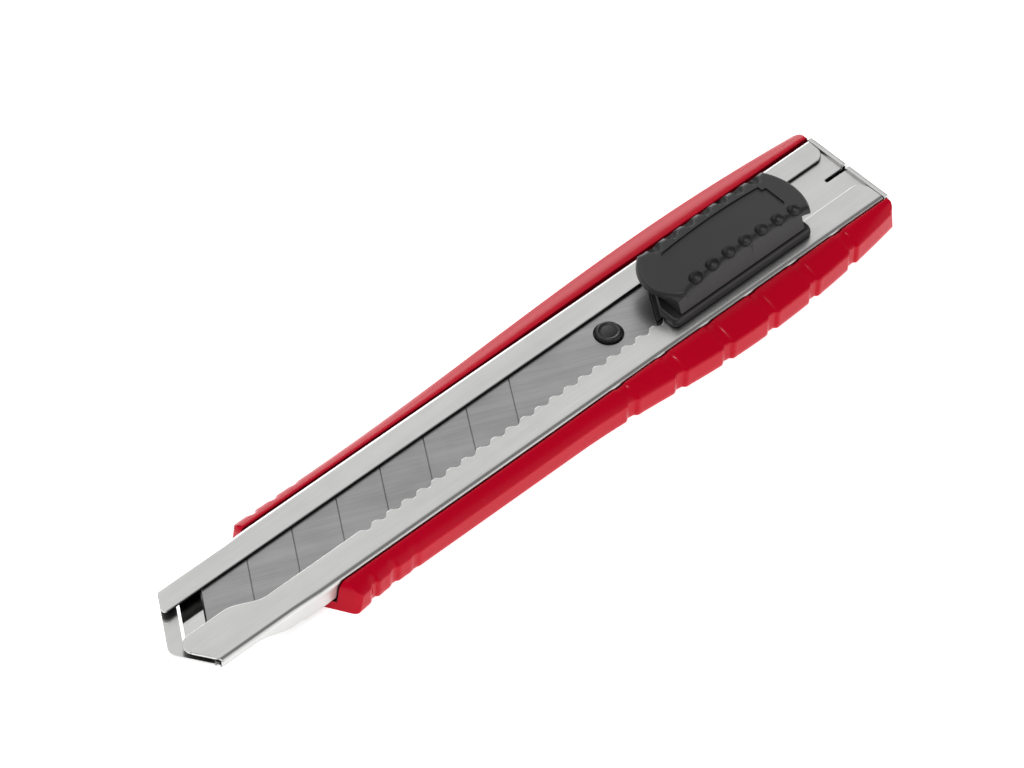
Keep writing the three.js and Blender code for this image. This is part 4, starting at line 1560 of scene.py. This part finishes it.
    def under_crown(self, drop: float, low: float) -> Form:
        """The space below a surface parallel to the button's top."""
        xs = spread(self.button_ends[0] - 2.0, self.button_ends[1] + 2.0, 60)
        return Form.across([(xs[0], low), (xs[-1], low),
                            *[(x, self.crown_at(x) - drop) for x in reversed(xs)]], -10.0, 10.0)

    def button(self) -> Form:
        """The thumb button."""
        body = Form.prism(round_box(self.button_ends[0] + self.lip, self.rear - self.lip,
                                    self.offset - self.over, self.offset + self.over,
                                    self.body_corner), self.under, 8.0)
        body.keep(self.behind(self.button_ends[0] + self.lip, 0.0))
        body.keep(self.crowned(self.body_drop))
        hollow = Form.block((self.core[0] - self.hollow_gap, self.core[1] + self.hollow_gap),
                            (self.middle - self.hollow_half, self.middle + self.hollow_half),
                            (self.under - PAST, self.over))
        hollow.keep(self.under_crown(self.roof, self.under - 2.0))
        form = self.lid().add(body).cut(hollow).cut(self.panel_form())
        centre = sum(self.button_ends) / 2.0 + self.scoop_shift
        profile = [(self.scoop_radius * math.cos(math.radians(a)),
                    self.scoop_radius * math.sin(math.radians(a))) for a in spread(-90.0, 90.0, 17)]
        profile[0], profile[-1] = (0.0, -self.scoop_radius), (0.0, self.scoop_radius)
        for k in range(self.scoops):
            x = centre + (k - (self.scoops - 1) / 2.0) * self.scoop_pitch
            for side, sink, (along, inward) in ((-1.0, self.scoop_sinks[0], self.scoop_near),
                                                (1.0, self.scoop_sinks[1], self.scoop_far)):
                level = self.crown_at(x) - sink
                form.cut(Form.turned([(r, level + z) for r, z in profile], x + along,
                                     self.offset + side * (self.top_half - inward), 32))
        form.tidy_short(self.shortest[1])
        return form.round_edges(self.scoop_rim, self.on_scoop, 2, False)

    def on_scoop(self, edge: bmesh.types.BMEdge) -> bool:
        """Tells whether an edge is a sharp one at a scoop's rim, and not too short to round."""
        near = all(abs(abs(vertex.co.y - self.offset) - self.top_half) < self.scoop_radius + 0.1
                   and vertex.co.z > self.scoop_level for vertex in edge.verts)
        return sharp(edge) and near and edge.calc_length() > self.shortest[0]

    def panel_form(self) -> Form:
        """The shallow recess in the button's top, with one stepped corner."""
        x0 = sum(self.button_ends) / 2.0 + self.scoop_shift - self.panel[0] / 2.0
        x1 = x0 + self.panel[0]
        y0 = self.offset + self.panel_shift - self.panel[1] / 2.0
        y1 = y0 + self.panel[1]
        step, corner = self.panel_step, self.panel_corner
        outline = [
            *arc(x0 + corner, y0 + corner, corner, 180.0, 270.0, 5),
            *arc(x1 - corner, y0 + corner, corner, 270.0, 360.0, 5),
            (x1, y1 - step), (x1 - step, y1 - step), (x1 - step, y1),
            *arc(x0 + corner, y1 - corner, corner, 90.0, 180.0, 5),
        ]
        return Form.prism(outline, self.under, self.over).cut(
            self.under_crown(self.panel_recess, self.under - 2.0))

    def base(self) -> Form:
        """The base that slides on the flanges."""
        near, far = self.middle - self.base_half, self.middle + self.base_half
        ledge = self.base_ledge
        foot = Form.loft([[(x, y, z) for x, y in round_box(
            self.front + inset, self.rear - inset, near + inset, far - inset, self.base_corner)]
                          for z, inset in ((self.base_under, 0.0), (self.base_step, 0.05),
                                           (self.base_top, ledge))])
        foot.keep(self.behind(self.front, -self.toe)).tidy()
        foot.round_edges(self.base_ledge, lambda edge: sharp(edge, 50.0), 4)
        core = Form.prism(round_box(*self.core, self.middle - self.core_half,
                                    self.middle + self.core_half, self.core_corner),
                          self.base_top - self.sink, self.core_top)
        socket = Form.block((self.front - PAST, self.neck_rear + self.fit),
                            (self.neck[0] - self.fit, self.neck[1] + self.fit),
                            (-PAST, self.socket_top))
        socket.keep(self.behind(self.neck_front - self.fit, 0.0))
        return foot.add(core).cut(socket).cut(self.pocket())

    def pocket(self) -> Form:
        """The room that the spring works in."""
        low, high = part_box("lock_spring")
        shift = own_origin()
        spots = [((low[k] - shift[k]) / MM, (high[k] - shift[k]) / MM) for k in range(3)]
        return Form.block(*[(spot[0] - before, spot[1] + after)
                            for spot, (before, after) in zip(spots, self.spring_room)])

    def carrier(self) -> Form:
        """The carrier under the blade, with its neck and the pin that holds the blade."""
        half = self.carrier_half
        body = Form.prism(round_box(self.carrier_front, self.carrier_rear, -half, half,
                                    self.carrier_corner),
                          self.carrier_under, self.carrier_top)
        sunk = self.carrier_top - self.sink
        step = Form.block((self.pin_place[0], self.carrier_rear), (-half, half),
                          (sunk, self.step_tops[0]))
        step.add(Form.block((self.pin_place[0], self.neck_rear), self.neck,
                            (sunk, self.step_tops[1])))
        step.keep(self.behind(self.step_front, 0.0))
        neck = Form.block((self.front, self.neck_rear), self.neck, self.neck_height)
        neck.keep(self.behind(self.neck_front, 0.0))
        form = body.add(step).add(neck).cut(self.pocket()).tidy()
        form.round_edges(0.1, lambda edge: sharp(edge, 50.0), 2)
        r, top = self.pin_radius, self.pin_top
        return form.add(Form.turned([
            (0.0, sunk), (r, sunk), (r, top - 0.6),
            *arc(r - 0.75, top - 0.6, 0.75, 12.0, 72.0, 6),
            (r - 0.85, top - 0.015), (r - 0.97, top - 0.12), (r - 1.12, top - 0.04), (0.0, top),
        ], *self.pin_place, 64))

    def build(self, plastic: bpy.types.Material,
              spring: bpy.types.Material) -> list[bpy.types.Object]:
        """Builds the slider.

        Args:
            plastic: Finish of the mouldings.
            spring: Finish of the lock spring.

        Returns:
            Its pieces.
        """
        leaf = refine("lock_spring", "lock_leaf", 0.04, "slider")
        return [
            dress(leaf, spring),
            self.carrier().finish("carrier", "slider", "black_plastic", ["blade_carrier"], plastic),
            self.base().finish("base", "slider", "black_plastic", ["slider_base"], plastic),
            self.button().finish("button", "button", "black_plastic", ["thumb_button"], plastic),
        ]


@dataclass
class EndClip:
    """The bent clip at the rear, with the slot that snaps segments."""

    sheet: float = 0.5
    top: float = -0.65
    foot: float = -3.85
    lead: float = 14.5
    foot_lead: float = 9.0
    lip_top: float = -0.05
    lip_front: float = 151.15
    rear: float = 152.5
    end: float = 151.0
    bend: float = 0.9
    half: float = 9.7
    leaf_half: float = 9.2
    step: float = 0.15
    slot: tuple[float, float, float] = (5.9, 0.1, 0.9)
    slot_round: float = 0.38
    edge_round: float = 0.1

    def profile(self) -> list[Pair]:
        """The clip's side view: the leaf, the step up to the lip, the bend and the foot."""
        t, mid = self.sheet, self.rear - self.bend
        rise = [(self.lip_front - self.step * (1.0 - share), self.top + (self.lip_top - self.top)
                 * ease(0.0, 1.0, share)) for share in spread(0.0, 1.0, 9)]
        under = [(x + 0.14, z - t) for x, z in reversed(rise)]
        return [
            (self.end - self.lead, self.top - t), (self.end - self.lead, self.top), *rise,
            *arc(mid, self.lip_top - self.bend, self.bend, 90.0, 0.0, 8),
            *arc(mid, self.foot + self.bend, self.bend, 0.0, -90.0, 8),
            (self.end - self.foot_lead, self.foot), (self.end - self.foot_lead, self.foot + t),
            *arc(mid, self.foot + self.bend, self.bend - t, -90.0, 0.0, 8),
            *arc(mid, self.lip_top - self.bend, self.bend - t, 0.0, 90.0, 8), *under,
        ]

    def build(self, sheet: bpy.types.Material) -> list[bpy.types.Object]:
        """Builds the clip.

        Args:
            sheet: Its finish.

        Returns:
            Its pieces.
        """
        form = Form.across(self.profile(), -self.half, self.half)
        for low, high in ((-12.0, -self.leaf_half), (self.leaf_half, 12.0)):
            form.cut(Form.block((self.end - self.lead - 1.0, self.lip_front - 0.004),
                                (low, high), (-6.0, 1.0)))
        run, near, far = self.slot
        form.cut(Form.prism(round_box(self.rear - run, self.rear + 2.0, near, far,
                                      self.slot_round), self.foot + self.sheet + 0.3, 1.0))
        form.tidy(0.2)
        form.round_edges(self.edge_round, sharp_above(self.top - 0.01), 3, False)
        return [form.finish("clip", "clip", "stainless", ["end_clip"], sheet)]


@dataclass(frozen=True)
class Glow:
    """A soft patch of light in the room, and the level outside it."""

    azimuth: float
    elevation: float
    fades: float
    full: float
    outside: float
    inside: float


@dataclass
class Studio:
    """Floor, soft light and camera."""

    azimuth: float = -42.811
    elevation: float = 48.5
    distance: float = 932.72
    lens: float = 189.48
    target: Triple = (0.374, 2.722, 6.6)
    floor_half: float = 3000.0
    lamp_from: Pair = (-50.0, 66.0)
    lamp_size: float = 5.0
    lamp_strength: float = 0.6
    bright: Glow = Glow(150.0, 38.0, 0.72, 0.95, 0.22, 0.97)
    near_strip: Glow = Glow(28.0, 0.0, 0.78, 0.93, 0.0, 1.1)
    left_panel: Glow = Glow(-137.0, 48.0, 0.85, 0.95, 0.0, 1.2)
    far_strip: Glow = Glow(152.0, 10.0, 0.955, 0.985, 0.0, 3.0)

    def aim(self, thing: bpy.types.Object, at: Vector) -> None:
        """Points a camera's or lamp's -Z at a place."""
        away = thing.location - at
        thing.rotation_euler = away.to_track_quat("Z", "Y").to_euler()

    def toward(self, azimuth: float, elevation: float) -> Vector:
        """Returns the direction that an azimuth and an elevation in degrees name."""
        turn, rise = math.radians(azimuth), math.radians(elevation)
        flat = math.cos(rise)
        return Vector((math.sin(turn) * flat, -math.cos(turn) * flat, math.sin(rise)))

    def build(self) -> None:
        """Builds the floor, the room's light, the lamp and the camera."""
        self.make_floor()
        self.make_world()
        self.make_lamp()
        self.make_camera()

    def make_floor(self) -> None:
        """Lays the floor under the knife."""
        half = self.floor_half * MM
        mesh = bpy.data.meshes.new("floor")
        mesh.from_pydata(
            [(-half, -half, 0.0), (half, -half, 0.0), (half, half, 0.0), (-half, half, 0.0)],
            [], [(0, 1, 2, 3)],
        )
        floor = add_object("floor", mesh)
        floor.location.z = -0.02 * MM
        dress(floor, FloorPaper().make())
        floor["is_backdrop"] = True

    def make_world(self) -> None:
        """Gives the room a soft light that is brightest behind the knife and dark in front."""
        world = bpy.data.worlds.new("room")
        world.use_nodes = True
        nodes, links = world.node_tree.nodes, world.node_tree.links
        spot = nodes.new("ShaderNodeTexCoord")
        total = self.world_level(nodes, links, spot, self.bright)
        for patch in (self.near_strip, self.left_panel, self.far_strip):
            both = nodes.new("ShaderNodeMath")
            links.new(total, both.inputs[0])
            links.new(self.world_level(nodes, links, spot, patch), both.inputs[1])
            total = both.outputs["Value"]
        links.new(total, nodes["Background"].inputs["Strength"])
        nodes["Background"].inputs["Color"].default_value = (1.0, 1.0, 1.0, 1.0)
        bpy.context.scene.world = world

    def world_level(self, nodes: Any, links: Any, spot: Any, patch: Glow) -> Any:
        """Adds the nodes for one patch of the room's light.

        Args:
            nodes: The world's nodes.
            links: The world's links.
            spot: The node that gives the direction.
            patch: The patch.

        Returns:
            The socket with its level.
        """
        facing = nodes.new("ShaderNodeVectorMath")
        facing.operation = "DOT_PRODUCT"
        facing.inputs[1].default_value = self.toward(patch.azimuth, patch.elevation)
        links.new(spot.outputs["Generated"], facing.inputs[0])
        level = nodes.new("ShaderNodeMapRange")
        level.interpolation_type = "SMOOTHSTEP"
        for key, value in (("From Min", patch.fades), ("From Max", patch.full),
                           ("To Min", patch.outside), ("To Max", patch.inside)):
            level.inputs[key].default_value = value
        links.new(facing.outputs["Value"], level.inputs["Value"])
        return level.outputs["Result"]

    def make_lamp(self) -> None:
        """Adds the one distant lamp that gives the pieces their edges."""
        data = bpy.data.lights.new("key_lamp", "SUN")
        data.angle = math.radians(self.lamp_size)
        data.energy = self.lamp_strength
        thing = add_object("key_lamp", data)
        thing.location = self.toward(*self.lamp_from)
        self.aim(thing, Vector((0.0, 0.0, 0.0)))

    def make_camera(self) -> None:
        """Sets the camera up."""
        data = bpy.data.cameras.new("camera")
        data.sensor_width = 36.0
        data.lens = self.lens
        camera = add_object("camera", data)
        target = Vector(self.target) * MM
        camera.location = target + self.toward(self.azimuth, self.elevation) * self.distance * MM
        self.aim(camera, target)
        bpy.context.scene.camera = camera
        bpy.context.scene.view_settings.view_transform = "Standard"


def plain_box(box: Any) -> Any:
    """Returns a box, or anything nested, as plain lists of numbers."""
    if isinstance(box, (int, float)):
        return float(box)
    return [plain_box(part) for part in box]


def main() -> None:
    """Builds the knife's pieces in order, reports each, and sets the studio up."""
    logging.basicConfig(level=logging.INFO, format="%(message)s")
    solid_box = plain_box(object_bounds())

    paint = GlossPaint().make()
    satin = Steel("satin_sheet", (0.66, 0.66, 0.65), (0.56, 0.56, 0.55), 0.3, Grain.ALONG,
                  shade_and_polish=ShadeAndPolish()).make()
    clip = Steel("satin_clip", (0.66, 0.66, 0.65), (0.58, 0.58, 0.57), 0.3, Grain.ALONG).make()
    ground = Steel("ground_blade", (0.41, 0.41, 0.41), (0.30, 0.30, 0.305), 0.34, Grain.GROUND,
                   relief=5e-7).make()
    plain = Steel("plain_steel", (0.5, 0.5, 0.5), (0.4, 0.4, 0.4), 0.35, Grain.ALONG).make()
    plastic = MouldedPlastic().make()

    pieces = [
        *Handle().build(paint),
        *Channel().build(satin, plain),
        *Blade().build(ground),
        *Slider().build(plastic, plain),
        *EndClip().build(clip),
    ]
    for piece in pieces:
        LOG.info("%s: %d faces", piece.name, len(piece.data.polygons))
    Studio().build()

    {"cad": solid_box, "visual": plain_box(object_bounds())}


if __name__ == "__main__":
    main()
